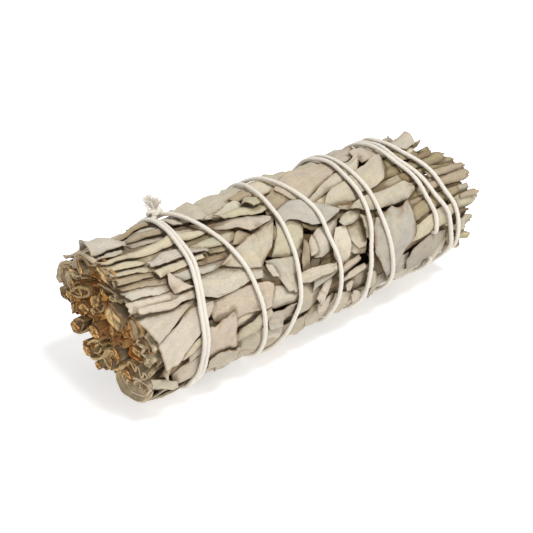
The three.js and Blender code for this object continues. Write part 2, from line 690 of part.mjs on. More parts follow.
function buildLeaves() {
  const leaves = [...hiddenLeaves(), ...frontLeaves];
  for (const leaf of leaves) {
    layDown(leaf);
    const held = leaf.sections.find(({ top }) => top.along > coreStart + 3) ?? leaf.sections[0];
    const { along, angle } = isCut(leaf) ? held.top : leaf.sections[0].top;
    leaf.stem = stemAt(along, angle);
    leaf.solid = blade(leaf, 0);
    leaf.room = blade(leaf, clearance + 0.02);
    if (isCut(leaf)) {
      const head = place(along, angle, (held.top.radius + held.bottom.radius) / 2);
      const foot = place(along, angle, coreRadius(along, angle) - 1.3);
      leaf.solid = leaf.solid.add(peg(head, foot, 0.8));
      leaf.room = leaf.room.add(peg(head, foot, 0.8 + clearance + 0.02));
    }
  }
  return leaves;
}

const bundle = new THREE.Group();

const leaves = buildLeaves();
const points = stringPoints();
const stringSolid = stringTube(points, stringRadius).add(stringKnot(points, 0));
const stringRoom = stringTube(points, stringRadius + clearance).add(stringKnot(points, clearance));

const cells = stemCells();
const coreRandom = seededRandom(3);
stems.forEach((stem, index) => {
  const core = sprigCore(cells[index], stem, coreRandom);
  const foreign = leaves.filter((leaf) => leaf.stem !== index).map((leaf) => leaf.room);
  const parts = [without(core, [...foreign, stringRoom])];
  leaves.forEach((leaf, order) => {
    if (leaf.stem !== index) return;
    const above = leaves.slice(order + 1).filter((other) => other.stem !== index);
    parts.push(without(leaf.solid, [...above.map((other) => other.room), stringRoom]));
  });
  const name = `sprig_${String(index + 1).padStart(2, "0")}`;
  bundle.add(meshOf(tidied(joined(parts)), name, leafTones[index % leafTones.length]));
});

// The string's underside is pressed flat where the bundle rests on it.
const underFloor = solidOf(new THREE.BoxGeometry(160, 120, 10), new THREE.Matrix4().makeTranslation(0, 0, -5));
const tied = tidied(stringSolid.subtract(underFloor));
bundle.add(meshOf(tied, "string", stringTone));

bundle.position.set(...centreShift, 0);

export default bundle;
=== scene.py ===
# A bundle of dried white sage: leafy stems pressed together, trimmed, and wound with cotton string.
# Sizes are in millimetres until they reach a mesh. A place on the bundle is [mm along it, degrees round it]:
# 0 faces the front, 90 faces up, and the axis runs along X.
import math

import bpy
import numpy as np
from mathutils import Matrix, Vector


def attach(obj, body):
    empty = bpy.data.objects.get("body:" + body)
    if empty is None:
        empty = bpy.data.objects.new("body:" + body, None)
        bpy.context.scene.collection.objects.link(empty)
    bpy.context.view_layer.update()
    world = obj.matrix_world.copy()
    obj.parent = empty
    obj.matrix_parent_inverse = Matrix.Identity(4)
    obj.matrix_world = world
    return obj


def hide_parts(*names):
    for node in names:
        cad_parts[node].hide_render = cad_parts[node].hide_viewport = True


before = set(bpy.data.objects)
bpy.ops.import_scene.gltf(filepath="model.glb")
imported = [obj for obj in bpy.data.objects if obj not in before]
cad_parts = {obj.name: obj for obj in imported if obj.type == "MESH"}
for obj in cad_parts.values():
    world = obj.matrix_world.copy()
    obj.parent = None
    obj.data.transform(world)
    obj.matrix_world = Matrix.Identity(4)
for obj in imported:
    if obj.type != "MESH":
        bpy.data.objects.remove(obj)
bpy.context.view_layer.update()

millimetre = 0.001
degree = math.pi / 180

bundle = {
    "axisHeight": 20.0,
    "planShift": (1.1, 0.7),  # from the bundle's axis to the middle of the model, in plan
    "thickRadius": 19.9,
    "thickAt": -33.0,
    "taper": 0.00055,
    "restGap": 0.7,  # lowest leaf over the table
    "softRest": 1.5,  # how far off that height the flattening starts
    "leafDepth": 7.5,  # outside leaves over the pressed inside
    "underDepth": 4.9,  # of it filled by leaves that hardly show
    "gapDepth": 2.6,  # the gaps between leaves go down about this far
    "underShare": 0.6,  # of the leaves at the back, the ones laid first, which hardly show
    "unrollRadius": 19.4,
    "stemEnd": -46.5,  # where the stems were cut
    "tipEnd": 42.0,  # and where the tips were trimmed
    "rimAngles": (0, 20, 30, 42, 63, 90, 110, 127, 167, 187, 210, 240, 275, 300, 330, 360),
    "rimAlong": (-45, -46, -47, -48.5, -50, -48, -47, -49.3, -50, -47.5, -45, -44, -45.2, -46.6, -46.5, -45),
}
arc = degree * bundle["unrollRadius"]  # millimetres of surface in one degree

# Leaf colours as the eye sees them
tones = {
    "bright": (0.745, 0.71, 0.65),
    "pale": (0.76, 0.725, 0.66),
    "cool": (0.715, 0.688, 0.635),
    "shade": (0.665, 0.638, 0.59),
    "gray": (0.718, 0.684, 0.613),
    "green": (0.725, 0.695, 0.61),
    "yellow": (0.74, 0.705, 0.615),
    "pink": (0.72, 0.678, 0.612),
    "tan": (0.655, 0.598, 0.505),
    "olive": (0.61, 0.565, 0.455),
    "brown": (0.545, 0.475, 0.38),
    # painted shade: the dark colour of the leaves deep inside, standing in for the shade they lie in
    "deepShade": (0.40, 0.34, 0.265),
}
edgeBrown = (0.41, 0.29, 0.18)

# The random draws start here
seeds = {
    "order": 11, "front": 5, "leaves": 21, "folds": 31, "stems": 41, "inside": 51, "string": 61, "crumbs": 73,
}

# Leafy stems at the cut face, as the CAD part has them: across, height over the axis, stem radius
stems = [
    (-0.5, 16.2, 2.2), (6.4, 13.9, 1.6), (-6.8, 8.3, 2.8), (-12.0, 7.6, 1.8), (0.8, -0.9, 1.7),
    (10.8, -5.5, 1.5), (5.1, -8.9, 1.7), (-13.2, 2.6, 1.8), (1.4, 7.2, 1.4), (13.2, 2.8, 1.4),
    (7.4, 7.3, 1.5), (14.0, -2.2, 1.2), (6.6, 1.8, 1.5), (-5.0, -4.0, 1.6), (-13.2, -3.2, 1.4),
    (-1.2, -12.2, 1.5), (-9.8, -9.6, 1.3), (8.0, -13.2, 1.3),
]

# Share of a leaf's width at even steps from its root to its tip
forms = {
    "lance": (0.30, 0.66, 0.90, 1.0, 0.97, 0.84, 0.58, 0.04),
    "wedge": (0.97, 1.0, 0.95, 0.86, 0.72, 0.53, 0.30, 0.04),
    "strap": (0.70, 0.90, 0.98, 1.0, 1.0, 0.96, 0.84, 0.30),
    "blunt": (0.80, 0.96, 1.0, 1.0, 1.0, 1.0, 0.97, 0.92),
    "stalk": (1.0, 0.96, 0.93, 0.92, 0.93, 0.96, 1.0, 0.97),
}

# The leaves that show from the front, the lowest first: tone, how far the blade bends across in degrees,
# how far its two edges are turned in, the places along one edge, the same along the other, how ragged its
# tip is, and how far its root stands off, or its tip if that is below nought
frontLeaves = [
    # low down and behind, under the rest
    ("gray", 30, (0, 0), [(-38, 160), (-28, 174), (-16, 161)], [(-38, 157), (-28, 141), (-16, 159)]),
    ("pink", 30, (0, 0), [(-36, 178), (-26, 188), (-15, 177)], [(-36, 175), (-26, 162), (-15, 174)]),
    ("pink", 20, (0, 0), [(8, 4), (16, 2), (25, 0)], [(8, -22), (16, -28), (25, -30)]),
    ("gray", 20, (0, 0), [(18, -17), (30, -19), (41, -16)], [(18, -43), (30, -45), (40, -42)]),
    ("gray", 20, (0, 0), [(-4, -18), (6, -20), (16, -18)], [(-4, -44), (6, -46), (16, -44)]),
    ("pink", 20, (0, 0), [(-28, -20), (-16, -20), (-4, -16)], [(-28, -44), (-16, -46), (-4, -42)]),
    # near end, low
    ("pink", 20, (0, 0), [(-42, -18), (-39, -11), (-33, -9)],
     [(-41, -36), (-38, -38), (-32, -38)]),
    ("gray", 40, (0, 0), [(-48, -12), (-45, -16), (-41, -22)],
     [(-47, -26), (-44, -32), (-40, -36)]),
    ("pale", 100, (40, 0), [(-45, -10), (-43.2, -3.5), (-40, 1), (-38.2, 0)],
     [(-44.3, -15), (-43, -10), (-41, -4.5), (-38.4, -3)]),
    ("pink", 20, (0, 0), [(-38.2, -1), (-33.5, 7)],
     [(-37.8, -10), (-33.5, -7)]),
    ("pale", 20, (0, 0), [(-18, -8), (-14, -11.5), (-11, -17)],
     [(-18, -22), (-15, -24), (-12, -26)]),
    ("gray", 20, (0, 0), [(-25.5, -9), (-22, -7.5), (-17.8, -7)],
     [(-25.5, -22), (-22, -28), (-18, -29)]),
    ("pale", 30, (30, 0), [(-16, 16), (-13, 21.7), (-10.5, 19.5), (-8, 14), (-5.8, 9)],
     [(-15.5, 9.5), (-13.8, 3), (-10.5, 1.5), (-8, 0.8), (-5.8, 2)]),
    ("pink", 25, (0, 0), [(-15.5, 2), (-11, 0.5), (-6.5, 1.5)],
     [(-15.5, -10), (-11.5, -14), (-8, -12)]),
    ("pale", 20, (0, 0), [(-25.2, 11.5), (-20, 10.5), (-16.5, 7.5)],
     [(-25.4, 0), (-22, 1.2), (-18.5, 5)]),
    ("green", 35, (25, 0), [(-24.8, -5.5), (-23, -0.5), (-20, 3.3), (-17.5, 6.8), (-14.9, 9)],
     [(-24.3, -12), (-21.5, -9.5), (-18.5, -6), (-16.5, -3), (-15, 0)]),
    ("pink", 12, (0, 0), [(-31, 30), (-24, 30.5), (-18, 30), (-14, 27.5), (-13, 24)],
     [(-30, 14), (-24, 10.5), (-20, 10), (-17.5, 9.5), (-14.8, 10)]),
    ("yellow", 60, (0, 0), [(-41.5, 0), (-38, 4), (-33.5, 9)],
     [(-40, -2.5), (-37, 1), (-33.5, 5)]),
    ("bright", 14, (0, 0), [(-46, 18), (-40.5, 23.3), (-35.5, 31.5), (-29, 30.5)],
     [(-44.7, -6.7), (-39.3, 4), (-34, 12.5), (-29.2, 27)]),
    ("pink", 18, (0, 0), [(-33, -17), (-33.3, -5), (-33, 5), (-32.6, 12.5)],
     [(-25.5, -14), (-24.6, 0), (-24.2, 10), (-24.8, 18.5)], 0.7),
    ("gray", 15, (30, 0), [(-32.5, -15), (-29, -11), (-26, -12), (-23, -18)],
     [(-32, -31), (-29.5, -33), (-26.5, -35), (-23.5, -36)]),
    ("bright", 22, (0, 50), [(-49.2, 40.5), (-44.3, 40), (-39.3, 36), (-33, 36.8)],
     [(-46.2, 18.3), (-42.4, 22.3), (-38.5, 29), (-33, 35.6)]),
    # near end, narrow folded leaves side by side over broad ones
    ("gray", 25, (0, 0), [(-48.9, 129), (-40, 131), (-30, 129)], [(-48.6, 110), (-40, 108), (-30, 107)]),
    ("gray", 20, (0, 0), [(-45, 112), (-38, 110), (-27, 106)], [(-46, 93), (-38, 90), (-27, 88)]),
    ("pale", 15, (0, 0), [(-49.6, 93), (-40, 93), (-30, 90)], [(-49.1, 72), (-40, 69), (-31, 70)]),
    ("gray", 15, (0, 0), [(-50.1, 76), (-40, 73), (-31, 71)], [(-50.1, 55), (-40, 54), (-32, 55)]),
    ("pale", 15, (0, 0), [(-49.6, 57), (-40, 58), (-32, 57)], [(-49.1, 41), (-40, 38), (-32, 38)]),
    ("pink", 15, (0, 0), [(-33, 92), (-25, 90), (-17, 88)], [(-33, 72), (-25, 70), (-17, 68)]),
    ("gray", 20, (0, 0), [(-34, 132), (-26, 133), (-19, 130)], [(-34, 104), (-26, 102), (-19, 103)]),
    ("gray", 15, (0, 0), [(-33, 74), (-25, 72), (-16, 70)], [(-33, 54), (-25, 53), (-17, 54)]),
    ("pale", 60, (0, 40), [(-50, 52), (-45, 50), (-40, 48.3), (-36, 46.5)],
     [(-50.2, 45.6), (-45, 45), (-40, 44.3), (-36, 43)]),
    ("pale", 50, (30, 0), [(-48.6, 46), (-42.5, 43), (-39, 41.3), (-35.5, 43), (-32.5, 43)],
     [(-48.6, 43.8), (-43, 40), (-39.5, 38), (-36, 39.8), (-33, 38.5)]),
    ("pale", 40, (0, 150), [(-32, 53.5), (-25, 50.7), (-20, 46.7), (-16, 43), (-14.3, 38)],
     [(-31.8, 37), (-28, 31), (-22, 31), (-18, 33), (-14.8, 31)]),
    ("bright", 30, (0, 30), [(-49.6, 60.3), (-44.5, 58.5), (-40, 56.3), (-37.8, 54.7)],
     [(-48.6, 54), (-44.5, 53.6), (-41.5, 50.8), (-38.2, 50.6)]),
    ("tan", 40, (0, 0), [(-50.1, 67), (-45, 65.5), (-41, 60.5), (-37.5, 58)],
     [(-49.6, 62.5), (-45, 61), (-41, 57.3), (-38, 55.5)]),
    ("tan", 50, (0, 0), [(-38, 60.5), (-34, 61.5), (-30, 60.5), (-26, 61)],
     [(-36, 58.8), (-33, 58), (-29.5, 58), (-26, 58.5)]),
    ("bright", 40, (0, 30), [(-36.5, 57.5), (-31, 57.3), (-26.5, 56.3), (-21.8, 54.5)],
     [(-35, 52.8), (-30, 52.3), (-26.5, 51.2), (-23, 52.2)]),
    ("brown", 60, (0, 0), [(-30, 60), (-26.5, 60.3), (-23.5, 59), (-21.5, 56)],
     [(-29.5, 57.8), (-26.5, 57.5), (-24, 56.8), (-22, 55.3)]),
    ("tan", 40, (0, 30), [(-50.1, 73), (-44.5, 70.5), (-40, 70)],
     [(-49.9, 66.2), (-45, 66), (-40, 64.8)]),
    ("yellow", 70, (0, 0), [(-50.1, 79.5), (-45, 76.5), (-41.5, 73), (-38, 70)],
     [(-49.9, 75), (-45, 72.6), (-42, 69.8), (-39, 67.8)]),
    ("yellow", 45, (0, 30), [(-49.1, 86.5), (-44, 84.5), (-41.2, 79.5), (-40, 75)],
     [(-49.6, 79), (-45, 76), (-42, 74.3), (-40.3, 73.8)]),
    ("yellow", 60, (0, 0), [(-39.7, 66), (-36, 65.8), (-31.5, 65), (-27, 63.2)],
     [(-39.4, 60.8), (-36, 61.3), (-31.5, 61.8), (-27.2, 61)]),
    ("olive", 60, (0, 0), [(-25, 66.5), (-21, 65.8), (-17.5, 63.5)],
     [(-25, 63.5), (-21.5, 61.8), (-18, 61.3)]),
    ("olive", 120, (0, 0), [(-30, 81), (-25, 79.3), (-20, 77), (-16, 74.5)],
     [(-30, 75), (-25, 74), (-20.5, 73.5), (-17, 72.5)]),
    ("yellow", 120, (0, 0), [(-29.5, 73.5), (-25.5, 73.7), (-21, 73.3), (-16.3, 71.5)],
     [(-29.5, 69.3), (-25, 67.8), (-21, 65.5), (-16.8, 66.5)]),
    ("bright", 40, (20, 20), [(-40.3, 73), (-37.5, 75), (-35, 78), (-31.5, 75.8), (-28, 70.5), (-25, 64.5)],
     [(-40, 68.3), (-37, 68), (-34.5, 68), (-31, 67.3), (-28, 65.3), (-25.4, 63.6)]),
    ("pale", 70, (0, 0), [(-38, 116), (-34, 112), (-29, 104)],
     [(-37, 110), (-33, 106), (-29, 99)]),
    ("gray", 90, (0, 0), [(-40, 103.5), (-36, 99.5), (-31, 93.5)],
     [(-39.5, 97.5), (-35.5, 93.5), (-31.5, 90.3)]),
    ("tan", 90, (0, 0), [(-40.5, 111), (-36, 107.5), (-30, 99)],
     [(-39.5, 105), (-35.5, 101), (-30, 94.5)]),
    ("pale", 40, (0, 0), [(-30.5, 94), (-27, 93), (-24.3, 90.5)],
     [(-30.5, 86.5), (-27, 84.8), (-24, 83.5)]),
    ("yellow", 110, (0, 0),
     [(-50.6, 89.5), (-46, 92.3), (-42, 92.3), (-37, 90), (-31.5, 88.7), (-26, 86.3), (-21, 83.3)],
     [(-50.2, 84), (-45, 84.3), (-41, 82), (-36, 80.5), (-31.5, 80), (-26, 79.3), (-21.3, 80)]),
    ("tan", 120, (0, 0), [(-44, 119), (-38, 120), (-31, 121)],
     [(-43, 113), (-38, 113), (-31, 114)]),
    ("gray", 90, (0, 0), [(-49.4, 101), (-45.5, 98.4), (-42, 96)],
     [(-49.6, 95), (-47, 92), (-43, 90.3)]),
    ("pale", 70, (0, 60), [(-48.8, 119), (-45.5, 118.5), (-42, 115.5), (-39.3, 104)],
     [(-49.4, 101), (-46.3, 98.8), (-42.8, 95.8), (-40.3, 97)], 0.3, 3.0),
    ("bright", 20, (0, 0), [(-37.2, 60.3), (-35.8, 53), (-32.8, 45)],
     [(-37.7, 59.5), (-38.4, 53), (-37.6, 45.6)]),
    # middle, top
    ("pale", 20, (0, 0), [(-8, 124), (0, 126), (7, 122)], [(-8, 98), (0, 96), (7, 102)]),
    ("pink", 15, (0, 0), [(11, 124), (19, 127), (28, 125)], [(11, 101), (19, 98), (28, 103)]),
    ("gray", 20, (0, 0), [(5.5, 60), (10, 59), (17.5, 58.5)], [(6.5, 49), (11, 49.5), (17, 50)]),
    ("pale", 20, (0, 0), [(-30, 118), (-26, 116), (-21, 113)],
     [(-30, 104), (-26.5, 99), (-22, 98)]),
    ("gray", 15, (0, 0), [(-24, 120), (-18, 124), (-12, 125), (-5, 122)],
     [(-24.5, 98), (-20, 89.5), (-14, 98.7), (-5.5, 108.5)]),
    ("gray", 20, (0, 0), [(2, 118), (9, 120), (17, 119)],
     [(3, 104), (9, 106), (17, 107)]),
    ("tan", 30, (0, 0), [(-10.5, 103.8), (-7, 104.3), (-4.3, 103)],
     [(-10, 100), (-7, 100.2), (-4.3, 100.5)]),
    ("tan", 40, (0, 0), [(-18.6, 61), (-16.2, 68.7), (-14.6, 70.3)],
     [(-17.3, 60), (-15, 61.5), (-12.8, 64)]),
    ("tan", 20, (0, 0), [(-3.5, 90), (0, 95), (3, 101)],
     [(-6, 74.5), (-2.5, 72.5), (3, 78)]),
    ("yellow", 45, (0, 0), [(-4.6, 70), (-6.5, 57), (-9, 49), (-10.6, 42)],
     [(0.5, 70), (0.8, 55), (-1.3, 44), (-5.4, 35.8)]),
    ("gray", 10, (0, 0), [(-24, 51.5), (-19.5, 57.3), (-15, 61), (-10, 66), (-5.5, 68.8)],
     [(-22.5, 49), (-18, 42), (-14.6, 38.2), (-9.8, 48.5), (-5.9, 66)]),
    ("pink", 30, (25, 0), [(-20, 82.5), (-17.5, 86), (-14.5, 84.8), (-11, 81), (-7, 76.5), (-5.5, 70.8)],
     [(-19.6, 80), (-17, 75), (-15, 71.5), (-13, 65), (-9.5, 67.5), (-6.2, 68.4)]),
    ("pale", 60, (0, 0), [(-20.5, 89.5), (-16, 94.7), (-12.5, 98.3), (-10, 99.2), (-9, 95.8)],
     [(-20.5, 87.5), (-16, 87), (-13, 86.5), (-10.5, 86.5), (-9.2, 90)]),
    ("yellow", 100, (0, 40), [(-18.5, 87.8), (-14.5, 88.3), (-10, 88.5), (-7.5, 87), (-4.4, 86)],
     [(-17, 83.7), (-13, 82.6), (-10, 80.2), (-7, 79.2), (-4.4, 81)]),
    ("green", 60, (0, 0), [(-9.7, 90.5), (-8.2, 95), (-7, 98.6)],
     [(-8, 82.5), (-5.4, 84.5), (-4.8, 92)]),
    ("pink", 12, (0, 0), [(0.4, 93), (3, 101), (6, 105), (11, 107), (19.6, 107)],
     [(2.4, 76), (5.8, 73), (9, 78.7), (13, 84.7), (19.6, 92.5)]),
    ("pale", 30, (0, 40), [(5.2, 71.5), (8.5, 76.3), (11.5, 80.7), (14.6, 85), (19.6, 90)],
     [(5.4, 67.3), (8.5, 70), (11.5, 74), (14.6, 76.2), (19.6, 77)]),
    ("yellow", 40, (0, 0), [(6, 67), (8, 69), (10.6, 71)],
     [(7.3, 62), (8.7, 60.8), (9.8, 62)]),
    ("pale", 35, (25, 0), [(7.9, 61), (10.3, 69.5), (13.5, 75), (19.6, 76.8)],
     [(8.6, 59.8), (10.5, 59), (13.5, 58.2), (19.6, 57.4)]),
    ("brown", 30, (0, 0), [(8.3, 61), (11.5, 59.2), (16, 58)],
     [(8.8, 58.8), (12, 56), (16, 53)]),
    ("tan", 50, (0, 0), [(11, 57.5), (13, 56.5), (15.3, 54.3)],
     [(11.5, 55.5), (13.3, 54), (15, 52.3)]),
    ("olive", 60, (0, 0), [(0.2, 59), (2.3, 53.8), (4.7, 51.3)],
     [(0.5, 55), (2.4, 50.3), (4.7, 48.8)]),
    # middle, front
    ("pale", 40, (0, 0), [(10.5, 28.3), (13, 24.5), (15.8, 18.5)],
     [(10.2, 22), (12.5, 18), (15.3, 14.5)]),
    ("pale", 22, (0, 25), [(11.3, 43), (11, 34), (11.5, 28), (13, 20.5)],
     [(16.2, 42.5), (17.2, 35), (16.6, 27), (15.2, 19.5)]),
    ("cool", 15, (0, 0), [(-0.3, 37), (1.7, 45), (4, 49), (7, 49.3), (10.3, 50)],
     [(0.3, 28.5), (2.5, 26.3), (5, 28.5), (6.5, 36), (8.7, 42.5)]),
    ("cool", 45, (160, 0), [(-3.6, 73), (-1, 76), (1, 77), (4, 73.5), (6, 66.5), (8.5, 60.3), (11.4, 55)],
     [(-3.8, 62), (-2.3, 63), (-0.5, 60.5), (1, 56), (3, 52.3), (6, 49.5), (10.3, 53.3)]),
    ("gray", 30, (0, 0), [(-0.8, 39), (0.3, 43), (1.3, 46)],
     [(-1, 31), (0.5, 31), (1.5, 33)]),
    ("pale", 14, (0, 0), [(8.2, 43.3), (6.3, 36), (5.4, 26), (6.3, 16)],
     [(11.2, 42.7), (11.3, 33), (10.5, 23), (9.3, 13)], 0.8),
    ("gray", 110, (0, 0), [(10, 46.3), (11.5, 49.8), (14.5, 50.4), (16.6, 48.6)],
     [(10.4, 43.2), (12.5, 42.6), (15, 44), (16.4, 46.8)]),
    ("gray", 35, (0, 20), [(-3.5, 16.8), (-5, 10), (-6.7, 0), (-7.5, -13)],
     [(-3, 16.5), (-0.8, 8), (1.2, -2), (2, -15)]),
    ("pale", 12, (0, 0), [(-13.3, 41.6), (-12.8, 35), (-11.3, 29), (-10.2, 22), (-9.3, 14)],
     [(-4.8, 36), (-4.6, 30), (-4.8, 24), (-5.3, 17), (-6, 10)], 0.5),
    ("bright", 40, (0, 0), [(-13.6, 39.5), (-13.2, 34), (-12.2, 29)],
     [(-12.4, 38), (-11.9, 33), (-11.3, 27.5)]),
    ("tan", 50, (0, 0), [(-4.1, 22.3), (-3.6, 31), (-2.3, 39), (-1.2, 44.8)],
     [(-1.1, 21.8), (-1.7, 30), (-1.1, 38), (-0.7, 43.5)]),
    ("tan", 40, (0, 0), [(-3.2, -16), (-1.5, -10.3), (1.3, -9.8)],
     [(-2.2, -19.5), (0, -18.5), (2.3, -17.3)]),
    ("pale", 40, (0, 0), [(-1, -9), (2, -10), (5, -9)],
     [(-0.5, -20), (2, -23), (5, -22)]),
    ("pale", 60, (0, 0), [(4.3, 10.5), (3.9, 3), (2.2, -4.3), (-0.8, -8.5)],
     [(2.6, 9), (1.8, 3.2), (0.6, -0.6), (-1.5, -3)]),
    ("bright", 40, (0, 0), [(-1.5, 14.3), (2, 14.9), (5.8, 13.3)],
     [(-2.5, 4.5), (0, 5.8), (4.9, 9)]),
    ("pale", 50, (0, 0), [(-0.5, 18), (2.5, 17.5), (5.6, 16.3)],
     [(-0.5, 14.8), (2.5, 14.7), (5.6, 14.2)]),
    ("pale", 40, (30, 0), [(-5.8, 22.3), (-2, 22.9), (1, 21.8), (4.8, 20)],
     [(-5.8, 16.8), (-3, 15.3), (0, 16.3), (4.8, 15.5)]),
    ("pink", 120, (0, 0), [(5.2, 9), (8.5, 14.7), (12.7, 15.6)],
     [(5.7, 4.3), (9.5, 5.8), (13.4, 10)]),
    ("pink", 70, (0, 0), [(5.2, 3), (9.5, 6.7), (14.2, 6)],
     [(5.7, -0.3), (10.5, -1.8), (14.8, 0.8)]),
    ("pale", 30, (0, 0), [(4.6, -7.5), (7.5, -10.7), (9.8, -15)],
     [(3.6, -18), (6.5, -22.5), (9, -26.5)]),
    ("pink", 100, (0, 0), [(7.8, -4.3), (9.3, -1.6), (10.5, -5)],
     [(7.8, -9), (9.3, -11.5), (10.3, -8.3)]),
    ("pale", 60, (0, 0), [(9.8, -11.5), (12, -17.5), (13.8, -26)],
     [(9.5, -14), (10.5, -22), (12, -30.5)]),
    ("gray", 40, (0, 0), [(14.6, -3), (17.5, -6), (18.6, -16)],
     [(14.3, -18), (16.5, -24), (18.3, -26)]),
    ("brown", 80, (0, 0), [(15.2, 13.5), (17.5, 12.5), (18.8, 7)],
     [(15, 1), (17, 0), (18.5, 0.5)]),
    ("green", 30, (0, 0), [(15.8, 45.5), (18.5, 41.5), (20.5, 38)],
     [(15.2, 27), (17, 24), (18.5, 21)]),
    # far end
    ("olive", 30, (0, 0), [(29, 78), (38, 76), (44, 74)], [(29, 62), (38, 61), (46, 61)]),
    ("tan", 30, (0, 0), [(30, 64), (38, 63), (46.5, 60)], [(30, 50), (38, 49), (47.5, 48)]),
    ("olive", 30, (0, 0), [(30, 52), (38, 50), (48.5, 49)], [(30, 36), (38, 36), (49, 38)]),
    ("tan", 30, (0, 0), [(30, 40), (38, 38), (48, 36)], [(30, 22), (38, 22), (48, 24)]),
    ("olive", 30, (0, 0), [(29, 26), (38, 27), (49, 26)], [(29, 8), (38, 8), (49, 9)]),
    ("tan", 30, (0, 0), [(23, 13), (32, 9), (43, 7)], [(23, -10), (32, -10), (43, -10)]),
    ("brown", 40, (0, 0), [(25, 3), (30, 4), (36, 4.5), (41, 3)], [(25, -2), (30, 0), (36, 0.5), (41, 0)]),
    ("olive", 30, (0, 0), [(40, 12), (45, 10), (48, 3)], [(40, -20), (45, -22), (47, -24)]),
    ("tan", 200, (0, 0), [(38, 65.5), (43, 65.5), (47, 63.5), (49.4, 61)],
     [(38, 63), (43, 62.5), (46.5, 60.5), (49, 58.5)]),
    ("olive", 200, (0, 0), [(40, 57.5), (44, 58), (48.5, 57)], [(40, 55), (44, 55.5), (48.5, 54.5)]),
    ("tan", 200, (0, 0), [(40, 49.5), (45, 50), (50.3, 48.5)], [(40, 47), (45, 47.5), (50.2, 46)]),
    ("pink", 20, (0, 0), [(19, 113), (24, 118), (29, 122)],
     [(19, 97), (24, 99), (27.5, 106)]),
    ("pale", 30, (0, 0), [(28, 112), (32, 114), (36, 112)],
     [(28, 104), (32, 102), (36, 99)]),
    ("pink", 30, (0, 0), [(25.5, 105), (29, 104.5), (34, 100)],
     [(26, 90), (29, 88.8), (33, 87.8)]),
    ("olive", 40, (0, 0), [(29.3, 77.5), (31, 84.5), (35, 88)],
     [(30, 75), (32, 75.3), (35.5, 79)]),
    ("olive", 50, (0, 0), [(35, 89), (38.7, 85.8), (41.2, 84.6)],
     [(35.5, 76), (38.5, 75), (40.3, 71.5)], 0.5),
    ("bright", 40, (0, 50), [(34.5, 104), (39, 107.5), (42.8, 110.5)],
     [(35.5, 92), (39, 86), (42.4, 89)], 0.1, -1.2),
    ("olive", 80, (0, 0), [(27.3, 71), (30, 75.7), (34, 74.5)],
     [(27.3, 65.5), (30, 65.8), (34, 64)]),
    ("olive", 150, (0, 0), [(33, 72.5), (38, 71.2), (42, 72), (46.6, 69.3)],
     [(33, 65), (38, 65.3), (42, 63.2), (46.6, 62.6)], 0.3),
    ("brown", 200, (0, 0), [(37.5, 72.5), (41, 73.3), (43.6, 72.7)],
     [(37.5, 70.5), (41, 71.2), (43.3, 70.8)]),
    ("brown", 60, (0, 0), [(28.3, 63), (32, 63.6), (35.5, 61)],
     [(29.3, 57.5), (32, 56), (35.5, 56)]),
    ("olive", 160, (0, 0), [(35.5, 61.3), (41, 60.8), (45, 58), (48.3, 54.5)],
     [(35.5, 58.3), (41, 57.5), (44.7, 55), (48, 52)]),
    ("gray", 60, (0, 0), [(35, 56), (40, 54), (44, 50.5)],
     [(35, 51), (40, 48.5), (44, 46.5)]),
    ("tan", 170, (0, 0), [(38, 56.5), (42, 55.5), (46.5, 54.3), (50.2, 50.5)],
     [(38, 52.8), (42, 51.5), (46, 49.2), (49.8, 46.8)], 0.4),
    ("brown", 180, (0, 0), [(39.5, 41.5), (45.5, 38.8), (48.6, 36.3)],
     [(39.8, 38.8), (45, 35.2), (48, 32.3)]),
    ("tan", 170, (0, 0), [(36.5, 46), (42, 47), (47, 46.7), (51.2, 44.7)],
     [(36.5, 42.2), (42, 42.3), (46, 40.2), (50.8, 37.3)], 0.4),
    ("gray", 60, (0, 0), [(44, 35), (47, 34), (49.6, 33)],
     [(44, 27), (47, 26), (49.2, 27)], 0.3),
    ("olive", 70, (0, 0), [(29.5, 31.5), (33, 34), (37, 36.2), (41, 36.2), (46, 35)],
     [(29.5, 20), (33, 21.8), (36, 23.8), (41, 24.5), (46, 24)]),
    ("yellow", 60, (0, 0), [(42, 27), (46.5, 27), (50, 26.5), (51.8, 24)],
     [(42, 9.5), (47, 10), (50, 10.5), (51.6, 13)], 0.8),
    ("tan", 90, (0, 0), [(45.5, 27), (48.5, 26.5), (50.8, 24)],
     [(45.5, 24.5), (48.5, 23.5), (50.4, 22)], 0.4),
    ("yellow", 40, (0, 0), [(27.7, 7), (30, 17.5), (35, 20.8), (40, 22.8), (44, 24)],
     [(28.3, 4.2), (31, 3.6), (35, 4.2), (40, 4.6), (44, 8)], 0.5),
    ("brown", 60, (0, 0), [(43, 11), (46, 11), (48.3, 9)],
     [(43, 5), (46, 5), (48, 5)], 0.5),
    ("gray", 60, (0, 0), [(43, 7), (46.5, 7), (48.6, 3)],
     [(43, -6), (46, -7.5), (48.4, -4)], 0.4),
    ("olive", 70, (0, 0), [(43.3, -9), (46, -12), (48.6, -20), (49.6, -29)],
     [(43.3, -22), (45, -25), (47, -28), (49, -31)], 0.6),
    ("pale", 20, (0, 0), [(22.5, -21), (26, -21), (31, -26)],
     [(23, -34), (27, -36), (32, -38)]),
    ("cool", 15, (0, 0), [(21.8, -3.5), (25, -3.8), (28.3, -5)],
     [(22.3, -20), (25, -21), (27.3, -19)]),
    ("pale", 20, (0, 0), [(35.3, -20), (38, -17), (41.5, -13)],
     [(36, -35), (39, -37), (42.5, -32)]),
    ("shade", 10, (0, 0), [(26.8, -10), (28.5, -3), (32, 0.2), (34.5, 2.4), (38, -1), (41, -3)],
     [(27.5, -19), (30, -24), (33, -26.5), (36, -20), (38.5, -17), (41, -13)]),
    ("tan", 20, (0, 0), [(20, 60.5), (24, 62.5), (28, 64), (31.3, 63.3)],
     [(20, 57), (24, 57), (28, 57), (31.5, 58)]),
    ("pale", 20, (0, 0), [(19.2, 94.5), (23, 96.2), (26.4, 96.2)],
